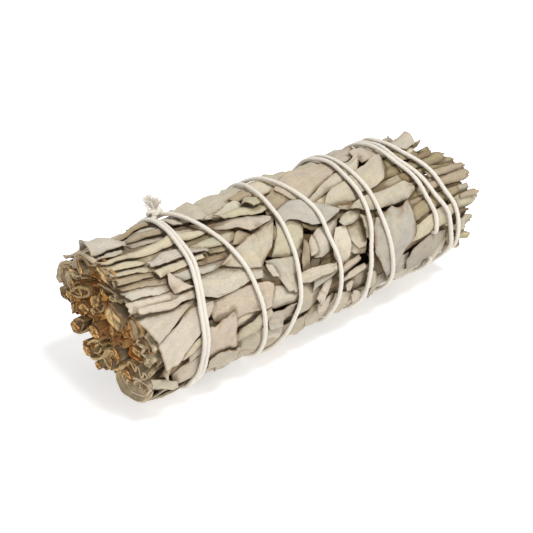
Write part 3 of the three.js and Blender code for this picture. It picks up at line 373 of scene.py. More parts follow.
     [(19.2, 79), (22, 81), (24.3, 87.5)]),
    ("gray", 12, (0, 0), [(18.7, 77), (21, 80.3), (25, 84.3), (28.5, 88.5), (31.2, 89)],
     [(18.7, 61.5), (21, 61.2), (24, 61.8), (27.4, 65), (30, 76)]),
    ("gray", 55, (0, 25), [(13.8, 52.3), (16, 55.8), (21, 57.8), (26, 56.9), (31, 56.3), (34, 52.5)],
     [(14.3, 50.6), (18, 46.8), (22, 43.8), (27, 41.8), (31, 42.3), (34.2, 47.5)]),
    ("shade", 12, (0, 0), [(21.8, -24), (20.2, -12), (18.6, 0), (17.3, 12), (17.5, 22), (18.6, 31), (20, 39)],
     [(22.8, -23), (24, -9), (26.6, 2), (29, 9), (30.3, 20), (30.8, 30), (30.2, 41.5)], 0.9),
]

# Rows of leaves by rule: how many, where, and what they are like
leafRows = {
    "inside": {"count": 44, "along": (-47, 45), "round": (0, 360), "long": (15, 24), "wide": (6, 9),
               "slant": 24, "curl": (5, 30), "forms": ("lance", "strap", "blunt"),
               "tones": ("gray", "pink", "tan", "brown", "gray"), "step": 1.2},
    "frontMiddle": {"count": 34, "along": (-32, 34), "round": (-42, 118), "long": (8, 14), "wide": (2.5, 6),
                    "slant": 60, "curl": (30, 150), "forms": ("lance", "strap", "lance"),
                    "tones": ("gray", "pink", "pale", "tan", "green"), "step": 0.8},
    "crest": {"count": 22, "along": (-48, 44), "round": (84, 128), "long": (13, 20), "wide": (5, 9),
              "slant": 14, "curl": (20, 60), "forms": ("lance", "strap", "strap"),
              "tones": ("gray", "pale", "pink", "green"), "step": 0.8},
    "frontStems": {"count": 16, "along": (-50.5, -28), "round": (-40, 116), "long": (13, 20), "wide": (2, 4),
                   "slant": 8, "curl": (60, 240), "forms": ("strap", "stalk", "lance"),
                   "tones": ("gray", "pale", "green", "tan"), "step": 0.8},
    "frontTips": {"count": 16, "along": (30, 49), "round": (-40, 100), "long": (10, 17), "wide": (2, 4),
                  "slant": 9, "curl": (90, 290), "forms": ("stalk", "strap", "stalk"),
                  "tones": ("olive", "tan", "green", "olive"), "step": 0.8},
    "backStems": {"count": 46, "along": (-50.5, -27), "round": (118, 322), "long": (13, 21),
                  "wide": (2.4, 6.5), "slant": 9, "curl": (60, 230),
                  "forms": ("strap", "lance", "stalk", "blunt"),
                  "tones": ("pale", "gray", "bright", "green", "pink"), "step": 0.9},
    "backTips": {"count": 44, "along": (26, 50), "round": (118, 322), "long": (12, 20), "wide": (2.2, 5),
                 "slant": 9, "curl": (90, 290), "forms": ("stalk", "strap", "stalk", "blunt"),
                 "tones": ("olive", "green", "tan", "gray", "yellow"), "step": 0.9},
    "backMiddle": {"count": 84, "along": (-34, 34), "round": (116, 324), "long": (11, 21), "wide": (4.5, 11),
                   "slant": 48, "curl": (12, 75), "forms": ("lance", "wedge", "strap", "blunt", "lance"),
                   "tones": ("pale", "gray", "cool", "pink", "bright", "green", "pale"), "step": 0.9},
}


def linearColour(colour):
    colour = np.asarray(colour, float)
    return np.where(colour <= 0.04045, colour / 12.92, ((colour + 0.055) / 1.055) ** 2.4)


def smoothStep(low, high, value):
    share = np.clip((value - low) / (high - low), 0, 1)
    return share * share * (3 - 2 * share)


def floorLimit(angle, gap):
    down = -np.sin(np.asarray(angle, float) * degree)
    return np.where(down > 0.25, (bundle["axisHeight"] - gap) / np.maximum(down, 0.25), 1e3)


def envelope(along, angle):
    # radius over the leaves, flattened softly where the bundle lies on the table
    radius = bundle["thickRadius"] - bundle["taper"] * (along - bundle["thickAt"]) ** 2
    limit = floorLimit(angle, bundle["restGap"])
    soft = bundle["softRest"]
    nearness = np.clip((limit - radius) / soft, -1, 1)
    eased = radius - soft / 4 * (1 - nearness) ** 2
    return np.where(np.abs(limit - radius) < soft, eased, np.minimum(radius, limit))


def coreRadius(along, angle):
    return envelope(along, angle) - bundle["leafDepth"]


def place(along, angle, radius):
    # position in the model, in metres
    turn = np.asarray(angle, float) * degree
    x = along + bundle["planShift"][0] + 0 * turn
    y = -radius * np.cos(turn) + bundle["planShift"][1]
    z = bundle["axisHeight"] + radius * np.sin(turn)
    return np.stack([x, y, z], axis=-1) * millimetre


# A leaf's blade, in millimetres
blade = {
    "thickness": 0.26,
    "thinner": 0.04,  # at its rim, by this much
    "over": 0.18,  # from its middle surface up to what the next leaf lies on
    "buried": 0.9,  # a leaf that is this far down all over is out of sight
}

# Heights of what has been laid on the bundle so far, on a grid unrolled round it
gridStep = 0.5
gridStart = -56.0
gridColumns = 225
gridRows = 244
rowAngle = 360 / gridRows
columnAlong = gridStart + gridStep * np.arange(gridColumns)
rowAngles = rowAngle * np.arange(gridRows)
coreHeights = coreRadius(columnAlong[None, :], rowAngles[:, None])
heights = coreHeights.copy()


def gridPlace(along, angle):
    columns = np.clip(np.rint((along - gridStart) / gridStep).astype(int), 1, gridColumns - 2)
    rows = np.rint(angle / rowAngle).astype(int)
    return rows, columns


def supportAt(along, angle):
    # highest thing within half a millimetre or so
    rows, columns = gridPlace(along, angle)
    top = heights[rows % gridRows, columns]
    for up, right in ((0, 1), (0, -1), (1, 0), (-1, 0), (1, 1), (1, -1), (-1, 1), (-1, -1)):
        top = np.maximum(top, heights[(rows + up) % gridRows, columns + right])
    return top


def fieldAt(field, along, angle):
    # value of a grid field between its points
    column = np.clip((along - gridStart) / gridStep, 0, gridColumns - 1.001)
    row = np.asarray(angle, float) / rowAngle
    left = np.floor(column).astype(int)
    low = np.floor(row).astype(int)
    across = column - left
    up = row - low
    here = low % gridRows
    above = (low + 1) % gridRows
    lowRow = field[here, left] * (1 - across) + field[here, left + 1] * across
    highRow = field[above, left] * (1 - across) + field[above, left + 1] * across
    return lowRow * (1 - up) + highRow * up


def refined(values, times):
    # a grid of samples with more steps between them
    shares = (np.arange(times) / times)[None, :, None]
    for axis in (0, 1):
        values = np.moveaxis(values, axis, 0)
        between = values[:-1, None] * (1 - shares) + values[1:, None] * shares
        values = np.concatenate([between.reshape(-1, values.shape[1]), values[-1:]])
        values = np.moveaxis(values, 0, axis)
    return values


def raiseHeights(along, angle, radius):
    along, angle, radius = (refined(values, 3) for values in (along, angle, radius))
    rows, columns = gridPlace(along, angle)
    np.maximum.at(heights, (rows % gridRows, columns), radius)


def blurred(field, reach):
    # box blur three times over, wrapping round the bundle
    for _ in range(3):
        total = np.zeros_like(field)
        for shift in range(-reach, reach + 1):
            total += np.roll(field, shift, axis=0)
        field = total / (2 * reach + 1)
        padded = np.pad(field, ((0, 0), (reach, reach)), mode="edge")
        field = sum(padded[:, k:k + gridColumns] for k in range(2 * reach + 1)) / (2 * reach + 1)
    return field


def widened(field, reach):
    # highest value within reach
    top = field.copy()
    for shift in range(-reach, reach + 1):
        top = np.maximum(top, np.roll(field, shift, axis=0))
    padded = np.pad(top, ((0, 0), (reach, reach)), mode="edge")
    for k in range(2 * reach + 1):
        top = np.maximum(top, padded[:, k:k + gridColumns])
    return top


def formWidth(form, share):
    # smooth curve through a form's even steps
    steps = np.array(forms[form])
    position = share * (len(steps) - 1)
    index = np.clip(position.astype(int), 0, len(steps) - 2)
    part = position - index
    before = steps[np.maximum(index - 1, 0)]
    here = steps[index]
    after = steps[index + 1]
    beyond = steps[np.minimum(index + 2, len(steps) - 1)]
    curve = here + 0.5 * part * (after - before + part * (2 * before - 5 * here + 4 * after - beyond
                                                          + part * (3 * (here - after) + beyond - before)))
    return np.clip(curve, 0.03, 1.05)


def crossSection(curl, crease, lips, lipWide, across):
    # half widths and heights of a blade that turns by curl degrees, with its edges turned in by their lips
    fine = np.linspace(0, 1, 80)
    sides = []
    for lip in lips:
        bend = abs(curl) / 2 + lip / lipWide * smoothStep(1 - 1.15 * lipWide, 1 - 0.85 * lipWide, fine)
        turn = np.concatenate([[0], np.cumsum((bend[1:] + bend[:-1]) / 2 * np.diff(fine))])
        turn = (turn + crease * smoothStep(0, 0.08, fine)) * degree
        out = np.concatenate([[0], np.cumsum((np.cos(turn[1:]) + np.cos(turn[:-1])) / 2 * np.diff(fine))])
        fall = np.concatenate([[0], np.cumsum((np.sin(turn[1:]) + np.sin(turn[:-1])) / 2 * np.diff(fine))])
        sides.append((out / out.max(), fall / out.max()))
    size = np.abs(across)
    lateral = np.where(across < 0, -np.interp(size, fine, sides[0][0]), np.interp(size, fine, sides[1][0]))
    height = -np.where(across < 0, np.interp(size, fine, sides[0][1]), np.interp(size, fine, sides[1][1]))
    if curl < 0:
        height = -height
    height = height - height.min()
    if height.max() > 0.8:
        height = height * (0.8 + 0.35 * (height.max() - 0.8)) / height.max()
    return lateral, height


def relaxed(values, passes):
    # draws a profile straight over its hollows
    for _ in range(passes):
        padded = np.pad(values, 1, mode="edge")
        values = np.maximum(values, (padded[2:] + padded[:-2]) / 2)
    return values


def restingHeight(along, angle, wide, firmness):
    # where a blade comes to lie on what is under it: soft ones drape, firm ones stay straight across
    rest = supportAt(along, angle) + blade["thickness"]
    support = rest
    for _ in range(12):
        padded = np.pad(rest, 1, mode="edge")
        mean = (padded[2:, 1:-1] + padded[:-2, 1:-1] + padded[1:-1, 2:] + padded[1:-1, :-2]) / 4
        rest = np.maximum(support, 0.25 * rest + 0.75 * mean)
    middle = rest.shape[1] // 2
    left = relaxed(rest[:, :middle + 1].max(axis=1), 24)
    right = relaxed(rest[:, middle:].max(axis=1), 24)
    left = np.maximum(left, right - 0.45 * wide)
    right = np.maximum(right, left - 0.45 * wide)
    share = np.linspace(0, 1, rest.shape[1])[None, :]
    flat = left[:, None] * (1 - share) + right[:, None] * share
    flat = flat + relaxed(np.maximum(rest - flat, 0).max(axis=1), 12)[:, None]
    return rest + (flat - rest) * firmness


def waves(random, share, count, longest):
    # a few sine waves added up, between -1 and 1 or so
    total = np.zeros_like(share)
    for k in range(1, count + 1):
        total = total + np.sin(2 * math.pi * share * k / longest + random.uniform(0, 6.3)) / (0.7 + 0.3 * k)
    return total / count ** 0.5


def tornLine(random, across, depth):
    # how far a torn or cut end is off its straight line
    knots = np.linspace(-1, 1, 9)
    off = random.uniform(-depth, depth, 9)
    off[[0, -1]] *= 0.3
    return np.interp(across, knots, off)


def cutRim(angle):
    # where the outside leaves were cut, round the near end
    return np.interp(np.asarray(angle, float) % 360, bundle["rimAngles"], bundle["rimAlong"])


laid = []  # every leaf with its surface once it lies on the bundle


def layBlade(random, x, s, share, across, half, long, curl, lips, tone):
    # lays a blade, given as a grid of places, on the heap
    u = share[:, 0]
    v = across[0]
    wide = 2 * half.max()
    angle = s / arc
    crease = random.choice([0, 0, 12, 20, 28]) if wide > 4 else random.choice([0, 15, 35, 48])
    crease = crease if abs(curl) < 100 else 0
    if abs(curl) < 60 and wide > 3:
        bent = curl * 1.5
    else:
        bent = curl if abs(curl) > 150 else 60 + 0.6 * curl
    lift = crossSection(bent, crease, lips, min(0.42, 2.1 / wide), v)[1]
    rest = restingHeight(x, angle, wide, random.uniform(0.8, 1.0) if wide > 3.5 else random.uniform(0.6, 1.0))

    crumple = (0.16 * waves(random, x * 0.15 + s * 0.10, 3, 1.0)
               + 0.12 * waves(random, s * 0.16 - x * 0.07, 3, 1.0))
    pleat = random.choice([0.04, 0.07, 0.12, 0.2])
    furrow = pleat * waves(random, across * wide / 9 + 0.25 * share, 4, 1.0) * (1.2 - 0.8 * share)
    midrib = -0.12 * np.exp(-((across / 0.07) ** 2)) * (wide > 4)
    puff = 1 + 0.3 * np.sin(u * random.uniform(2, 5) + random.uniform(0, 6))
    edgeWay = np.where(across < 0, waves(random, share * long / 8, 4, 1.0),
                       waves(random, share * long / 8, 4, 1.0))
    lifted = np.where(across < 0, random.uniform(0, 0.8), random.uniform(0, 0.8)) * (0.7 + 0.6 * edgeWay)
    rise = lifted * smoothStep(0.55, 1.0, np.abs(across)) * (abs(curl) < 90)
    twist = (random.uniform(-0.17, 0.17)
             * np.cos(long * share * random.uniform(0.25, 0.6) + random.uniform(0, 6.3)))
    rise = rise + (1 + across * np.sign(twist)) * np.abs(twist) * min(wide, 4)
    uneven = (crumple + furrow + midrib + rise) * min(1, wide / 4)
    radius = rest + lift[None, :] * (half * puff)[:, None] + uneven

    raiseHeights(x, angle, radius + blade["over"])
    laid.append({
        "along": x, "angle": angle, "radius": radius, "share": share, "across": across, "long": long,
        "wide": wide, "tone": tone, "seed": random.uniform(0, 1),
        "rolled": float(smoothStep(60, 150, abs(curl))), "raised": 0.0,
    })


def roundTip(share, long, wide):
    # narrows a rolled leaf to a blunt end over its last stretch
    stretch = 0.7 * wide / long
    return np.sqrt(np.clip(1 - (np.maximum(share - 1 + stretch, 0) / stretch) ** 2, 0.12, 1))


def acrossSteps(wide, fineness):
    count = 9 if wide < 2.6 else 11 if wide < 4.5 or fineness > 0.7 else 15
    return np.sin(np.linspace(-1.25, 1.25, count)) / math.sin(1.25)


def layLeaf(random, rootAlong, rootAngle, tipAlong, tipAngle, wide, form, curl, bow, tone, step):
    # a leaf of one of the forms, from its root to its tip
    start = np.array([rootAlong, rootAngle * arc])
    end = np.array([tipAlong, tipAngle * arc])
    long = math.hypot(*(end - start))
    forward = (end - start) / long
    sideways = np.array([-forward[1], forward[0]])

    steps = max(8, int(long / step))
    u = np.concatenate([[0, 0.25 / long], np.linspace(0, 1, steps)[1:-1], [1 - 0.25 / long, 1]])
    v = acrossSteps(wide, step)
    share, across = np.meshgrid(u, v, indexing="ij")
    lips = random.choice([0, 0, 0, 25, 60, 110, 175], 2) if abs(curl) < 120 else (0, 0)
    lateral = crossSection(curl, 0, lips, min(0.42, 2.1 / wide), v)[0]
    half = wide / 2 * formWidth(form, u)
    if form in ("lance", "strap"):
        half = half * np.sqrt(np.clip(1 - ((u - 0.9) / 0.101) ** 2 * (u > 0.9), 0.02, 1)) ** 0.6
    if form == "stalk":
        half = half * roundTip(u, long, wide)
    wobble = 1 + 0.05 * np.where(across < 0, waves(random, share, 4, 1.4), waves(random, share, 4, 1.2))
    fromMiddle = half[:, None] * lateral[None, :] * wobble

    torn = {"blunt": (0.5, 0.9), "wedge": (0.25, 0.2), "stalk": (0.2, 0.2)}.get(form, (0.35, 0.1))
    if rootAlong < -44:
        torn = (0.12, torn[1])
    pull = (tornLine(random, across, torn[0]) * (1 - share) ** 6
            + tornLine(random, across, torn[1]) * share ** 8)
    sag = bow * np.sin(math.pi * u) + 0.018 * long * np.sin(2 * math.pi * u * random.uniform(0.7, 1.3))
    x = start[0] + forward[0] * (long * share + pull) + sideways[0] * (fromMiddle + sag[:, None])
    s = start[1] + forward[1] * (long * share + pull) + sideways[1] * (fromMiddle + sag[:, None])
    layBlade(random, x, s, share, across, half, long, curl, lips, tone)


def layFrontLeaf(random, tone, curl, lips, upper, lower, ragged=0.1, raised=0.0):
    # a leaf between two edges
    upper = np.array(upper, float) * (1, arc)
    lower = np.array(lower, float) * (1, arc)
    spans = (np.linalg.norm(np.diff(upper, axis=0), axis=1)
             + np.linalg.norm(np.diff(lower, axis=0), axis=1)) / 2
    marks = np.concatenate([[0], np.cumsum(spans)])
    long = marks[-1]
    gap = lower - upper
    size = np.linalg.norm(gap, axis=1, keepdims=True)
    if size.max() < 3:
        lower = lower + gap / np.maximum(size, 0.5) * 0.5
        upper = upper - gap / np.maximum(size, 0.5) * 0.2
    steps = max(9, int(long / 0.42))
    u = np.concatenate([[0, 0.2 / long], np.linspace(0, 1, steps)[1:-1], [1 - 0.2 / long, 1]])
    edges = []
    for edge in (upper, lower):
        line = np.stack([np.interp(u * long, marks, edge[:, axis]) for axis in (0, 1)], axis=1)
        for _ in range(2):
            line[1:-1] = (line[:-2] + 2 * line[1:-1] + line[2:]) / 4
        wiggle = 0.12 if size.max() < 3 else 0.06
        edges.append(line + wiggle * waves(random, u * long / 9, 6, 1.0)[:, None])
    middle = (edges[0] + edges[1]) / 2
    outward = (edges[0] - edges[1]) / 2
    if abs(curl) > 140:
        outward = outward * roundTip(u, long, 2 * np.linalg.norm(outward, axis=1).max())[:, None]
    half = np.maximum(np.linalg.norm(outward, axis=1), 0.06)
    wide = 2 * half.max()
    v = acrossSteps(wide, 0.5)
    share, across = np.meshgrid(u, v, indexing="ij")
    lateral = crossSection(curl, 0, lips[::-1], min(0.42, 2.1 / wide), v)[0]
    forward = np.gradient(middle, axis=0)
    forward = forward / np.maximum(np.linalg.norm(forward, axis=1, keepdims=True), 1e-6)
    root = 0.1 if middle[0, 0] > -46 else 0.55 if wide < 5 else 0.25
    pull = tornLine(random, across, ragged) * share ** 8 + tornLine(random, across, root) * (1 - share) ** 6
    x = middle[:, :1] + outward[:, :1] * lateral + forward[:, :1] * pull
    s = middle[:, 1:] + outward[:, 1:] * lateral + forward[:, 1:] * pull
    layBlade(random, x, s, share, across, half, long, curl, lips[::-1], tone)
    laid[-1]["raised"] = raised


def leavesInRows(name, row):
    # leaves strewn evenly over part of the bundle: the golden angle keeps them apart
    random = np.random.default_rng(sum(map(ord, name)))
    low, high = row["along"]
    first, last = row["round"]
    for number in range(row["count"]):
        long = random.uniform(*row["long"])
        angle = first + (last - first) * ((number + 0.5) / row["count"] + random.uniform(-0.02, 0.02))
        behind = ends["topShort"] + 6 * smoothStep(96, 104, angle) * (1 - smoothStep(135, 160, angle))
        reach = high - (high > 46) * behind * smoothStep(70, 90, angle) * (1 - smoothStep(160, 190, angle))
        middle = low + long / 2 + (reach - low - long) * ((number * 0.618034) % 1)
        slant = random.uniform(-1, 1) * row["slant"] * degree
        middle = max(middle, float(cutRim(angle)) + random.uniform(0.3, 1.1) + long / 2 * math.cos(slant))
        if random.uniform() < 0.15 and row["slant"] > 40:
            slant = slant * 1.8
        flip = random.choice([-1, 1])
        halfAlong = flip * long / 2 * math.cos(slant)
        halfRound = flip * long / 2 * math.sin(slant) / arc
        form = row["forms"][random.integers(len(row["forms"]))]
        curl = random.uniform(*row["curl"]) * (-1 if random.uniform() < 0.15 else 1)
        tone = row["tones"][random.integers(len(row["tones"]))]
        yield (random, middle - halfAlong, angle - halfRound, middle + halfAlong, angle + halfRound,
               random.uniform(*row["wide"]), form, curl, random.uniform(-0.8, 0.8), tone, row["step"])


def evenOut(depth):
    # presses what has been laid so far to one depth all round, so that the next leaves start from even ground
    heap = blurred(widened(heights, 3), 4)
    for leaf in laid:
        core = coreRadius(leaf["along"], leaf["angle"])
        local = fieldAt(heap, leaf["along"], leaf["angle"]) - core
        leaf["radius"] = core + (leaf["radius"] - core) * depth / np.maximum(local, depth * 0.6)
    heights[:] = coreHeights + (heights - coreHeights) * depth / np.maximum(heap - coreHeights, depth * 0.6)


def layAllLeaves():
    back = [leaf for name in ("backStems", "backTips", "backMiddle")
            for leaf in leavesInRows(name, leafRows[name])]
    order = np.random.default_rng(seeds["order"]).permutation(len(back))
    under = int(len(back) * bundle["underShare"])
    stages = ((("inside", "crest"), order[:0]), (("frontMiddle", "frontStems", "frontTips"), order[:under]))
    for names, hidden in stages:
        for name in names:
            for leaf in leavesInRows(name, leafRows[name]):
                layLeaf(*leaf)
        for index in hidden:
            layLeaf(*back[index])
        evenOut(bundle["underDepth"])
    for index in order[under:]:
        layLeaf(*back[index])
    random = np.random.default_rng(seeds["front"])
    for leaf in frontLeaves:
        layFrontLeaf(random, *leaf)
    print("laid", len(laid), "leaves")


# The cotton string and its knot
cotton = {
    "radius": 0.51,
    "fuller": 1.06,  # the twisted string against its plain radius
    "sides": 20,
    "sink": 0.4,  # how far it presses into the leaves
    "slack": 0.4,  # how far it may lie off them
    "stand": 0.3,  # how far its middle would be off a bundle without bumps
    "bumps": 0.45,  # share of its height that follows the leaves and not that smooth bundle
    "smoothing": 14,
    "bed": 0.75,  # leaves come up to this share of its radius below its middle
    "twist": 4.6,  # mm along the string in one turn of its strands
    "strands": 3,
    "colour": (0.865, 0.835, 0.785),
    "knotAlong": -26.6,
    "knotAngle": 123.0,
    "knotSize": 0.62,
    "knotString": 0.58,  # radius of the string in the knot
    "knotStand": 0.9,  # how far the knot's middle is over the string's
    "tails": (((-0.15, 0.1), 0.8, 4.6, 150), ((0.45, -0.2), 0.7, 3.7, 120)),  # lean, spread, length, fibres
    "tailFibre": 0.045,
    "looseFibre": 0.018,
    "looseFibres": 700,
    "wayOut": 2360,  # degrees wound on the way out along the bundle, before the way back
    "tucked": (4, -20.0, 0.0),  # the round on which it goes under a leaf, and between which angles
    "tuckDepth": 2.4,
}

# Where the string passes down the front, in the order it was wound: mm along the bundle at each angle
passAngles = (115, 100, 80, 60, 40, 20, 0, -20)
stringPasses = [
    (-29.3, -29.5, -29.9, -30.2, -31.8, -32.8, -33.5, -33.7),
    (-25.3, -24.1, -21.9, -20.1, -18.4, -17.6, -17.3, -16.8),
    (1.1, 2.1, 3.7, 5.2, 5.3, 5.8, 5.5, 4.8),
    (19.8, 20.0, 20.2, 20.9, 21.1, 21.5, 21.9, 22.5),
    (31.9, 32.2, 32.9, 34.3, 35.6, 36.9, 36.4, 36.2),
    (33.3, 33.7, 34.0, 35.7, 37.9, 40.5, 41.2, 42.3),
    (35.5, 35.6, 36.9, 39.4, 41.2, 43.1, 43.5, 43.7),
    (17.9, 18.4, 18.0, 18.2, 17.5, 15.9, 14.8, 14.3),
    (-3.6, -4.0, -4.4, -4.5, -5.3, -6.0, -7.0, -9.4),
    (-30.3, -30.5, -30.9, -31.3, -32.8, -33.8, -34.5, -34.7),
]


def stringRoute():
    # degrees turned and mm along, one point for every half millimetre of string or so
    turned = [-cotton["knotAngle"]]
    along = [cotton["knotAlong"]]
    for number, marks in enumerate(stringPasses):
        for angle, mark in zip(passAngles, marks):
            turned.append(360 * number - angle)
            along.append(mark)
    turned.append(360 * len(stringPasses) - cotton["knotAngle"])
    along.append(cotton["knotAlong"] - 0.4)
    turned = np.array(turned, float)
    along = np.array(along)
    slope = np.gradient(along, turned)
    fine = np.arange(turned[0], turned[-1], 0.45 / arc)
    index = np.clip(np.searchsorted(turned, fine) - 1, 0, len(turned) - 2)
    span = turned[index + 1] - turned[index]
    t = (fine - turned[index]) / span
    curve = (along[index] * (2 * t ** 3 - 3 * t ** 2 + 1) + slope[index] * span * (t ** 3 - 2 * t ** 2 + t)
             + along[index + 1] * (3 * t ** 2 - 2 * t ** 3) + slope[index + 1] * span * (t ** 3 - t ** 2))
    return -fine, curve


def tautRadius(angle, radius, lowest):
    # straight over hollows, as a pulled string is
    for reach in (48, 32, 24, 16, 12, 8, 6, 4, 3, 2, 1, 1, 1):
        for _ in range(3):
            turn = abs(angle[reach] - angle[0]) * degree
            chord = 2 * math.cos(turn) / (1 / radius[:-2 * reach] + 1 / radius[2 * reach:])
            radius[reach:-reach] = np.maximum(radius[reach:-reach], chord)
            radius = np.minimum(radius, lowest)
    return radius


def windString(top):
    # centre line of the string over the leaves: first the way out along the bundle, then the way back over it
    angle, along = stringRoute()
    lowest = floorLimit(angle, cotton["radius"] - 0.05)
    outward = angle > -cotton["knotAngle"] - cotton["wayOut"]
    radius = np.zeros_like(angle)
    highest = np.zeros_like(angle)
    ground = blurred(widened(top, 2), 3)
    onString = np.zeros_like(top)
    for part in (outward, ~outward):
        support = fieldAt(ground, along[part], angle[part]) - cotton["sink"]
        rows, columns = gridPlace(along[part], angle[part])
        support = np.maximum(support, onString[rows % gridRows, columns])
        highest[part] = support + cotton["radius"] + cotton["slack"]
        onLeaves = np.minimum(support + cotton["radius"], lowest[part])
        radius[part] = tautRadius(angle[part], onLeaves, lowest[part])
        for up in (-1, 0, 1):
            for right in (-1, 0, 1):
                reachTop = radius[part] + cotton["radius"] * (0.9 if up == right == 0 else 0.6)
                np.maximum.at(onString, ((rows + up) % gridRows, columns + right), reachTop)
    onBundle = np.minimum(envelope(along, angle) + cotton["stand"], lowest)
    radius = np.minimum(cotton["bumps"] * radius + (1 - cotton["bumps"]) * onBundle, highest)
    for _ in range(cotton["smoothing"]):
        radius[1:-1] = (radius[:-2] + 2 * radius[1:-1] + radius[2:]) / 4
    turn, low, high = cotton["tucked"]
    inRound = angle + 360 * turn
    under = smoothStep(low - 6, low, inRound) * (1 - smoothStep(high, high + 5, inRound))
    return angle, along, radius - cotton["tuckDepth"] * under, under < 0.5


def compressed(radius, along, angle, heap):
    # the heap of leaves brought to the bundle's outline: the lower a leaf lies, the closer it is packed
    core = coreRadius(along, angle)
    room = envelope(along, angle) - core
    depth = np.maximum(heap - core, 1.0)
    share = np.clip((radius - core) / depth, 0, 1)
    over = np.maximum(radius - core - depth, 0)
    below = room * (1 - share ** np.clip(0.62 * depth / room, 0.5, 2.0))
    below = bundle["gapDepth"] * (1 - np.exp(-below / bundle["gapDepth"]))
    return core + room - below + 1.0 * (1 - np.exp(-over / 1.3))


def pressLeaves():
    # brings the heap of leaves to the bundle's outline, then presses it in under the string
    heap = blurred(widened(heights, 4), 5)
    top = compressed(heights, columnAlong[None, :], rowAngles[:, None], heap)
    angle, along, radius, above = windString(top)

    limit = np.full_like(heights, 1e3)
    reach = 7
    rows, columns = gridPlace(along, angle)
    for up in range(-reach, reach + 1):
        for right in range(-reach, reach + 1):
            column = np.clip(columns + right, 0, gridColumns - 1)
            awayAlong = columnAlong[column] - along
            awayRound = (rows + up) * rowAngle - angle
            away = np.hypot(awayAlong, awayRound * arc)
            cap = radius - cotton["radius"] * cotton["bed"] + 1.1 * np.maximum(away - 0.5, 0) ** 1.2
            np.minimum.at(limit, (((rows + up) % gridRows)[above], column[above]), cap[above])
    press = np.clip((limit - coreHeights) / np.maximum(widened(top, 1) - coreHeights, 0.5), 0.05, 1)
    print("leaves pressed to the outline")
    return heap, press, (angle, along, radius)


# A mesh is gathered part by part, and made at the end as one piece
class MeshParts:
    def __init__(self):
        self.points = []
        self.faces = []
        self.colours = []
        self.places = []
        self.count = 0

    def add(self, points, faces, colours, places):
        self.points.append(np.asarray(points).reshape(-1, 3))
        self.faces.append(np.asarray(faces) + self.count)
        self.colours.append(np.broadcast_to(np.asarray(colours), (len(self.points[-1]), 3)))
        self.places.append(np.broadcast_to(np.asarray(places), (len(self.points[-1]), 3)))
        self.count += len(self.points[-1])

    def piece(self, name, material, sharpAngle=40):
        points = np.concatenate(self.points)
        mesh = bpy.data.meshes.new(name)
        mesh.from_pydata(points.tolist(), [], [face for faces in self.faces for face in faces.tolist()])
        colours = mesh.attributes.new("leafColour", "FLOAT_COLOR", "POINT")
        rgba = np.concatenate([np.concatenate(self.colours), np.ones((len(points), 1))], axis=1)
        colours.data.foreach_set("color", rgba.astype(np.float32).ravel())
        places = mesh.attributes.new("leafPlace", "FLOAT_VECTOR", "POINT")
        places.data.foreach_set("vector", np.concatenate(self.places).astype(np.float32).ravel())
        mesh.shade_smooth()
        mesh.set_sharp_from_angle(angle=sharpAngle * degree)
        mesh.materials.append(material)
        thing = bpy.data.objects.new(name, mesh)
        bpy.context.scene.collection.objects.link(thing)
        return thing


def gridFaces(rows, columns, wrap=False):
    # quads between the points of a grid, row by row
    index = np.arange(rows * columns).reshape(rows, columns)
    if wrap:
        index = np.concatenate([index, index[:, :1]], axis=1)
    corners = (index[:-1, :-1], index[1:, :-1], index[1:, 1:], index[:-1, 1:])
    return np.stack([corner.ravel() for corner in corners], axis=1)


def sheetSolid(points, thickness):
    # a thin solid with the sheet as its middle: points above, points below, and a rim that joins them
    along = np.gradient(points, axis=0)
    across = np.gradient(points, axis=1)
    normal = np.cross(along, across)
    normal /= np.maximum(np.linalg.norm(normal, axis=-1, keepdims=True), 1e-12)
    rows, columns = points.shape[:2]
    half = thickness[..., None] / 2 * millimetre
    both = np.concatenate([(points + normal * half).reshape(-1, 3), (points - normal * half).reshape(-1, 3)])
    top = gridFaces(rows, columns)
    under = rows * columns
    index = np.arange(under).reshape(rows, columns)
    loop = np.concatenate([index[:-1, 0], index[-1, :-1], index[:0:-1, -1], index[0, :0:-1]])
    after = np.roll(loop, -1)
    rim = np.stack([after, loop, loop + under, after + under], axis=1)
    return both, np.concatenate([top, top[:, ::-1] + under, rim])


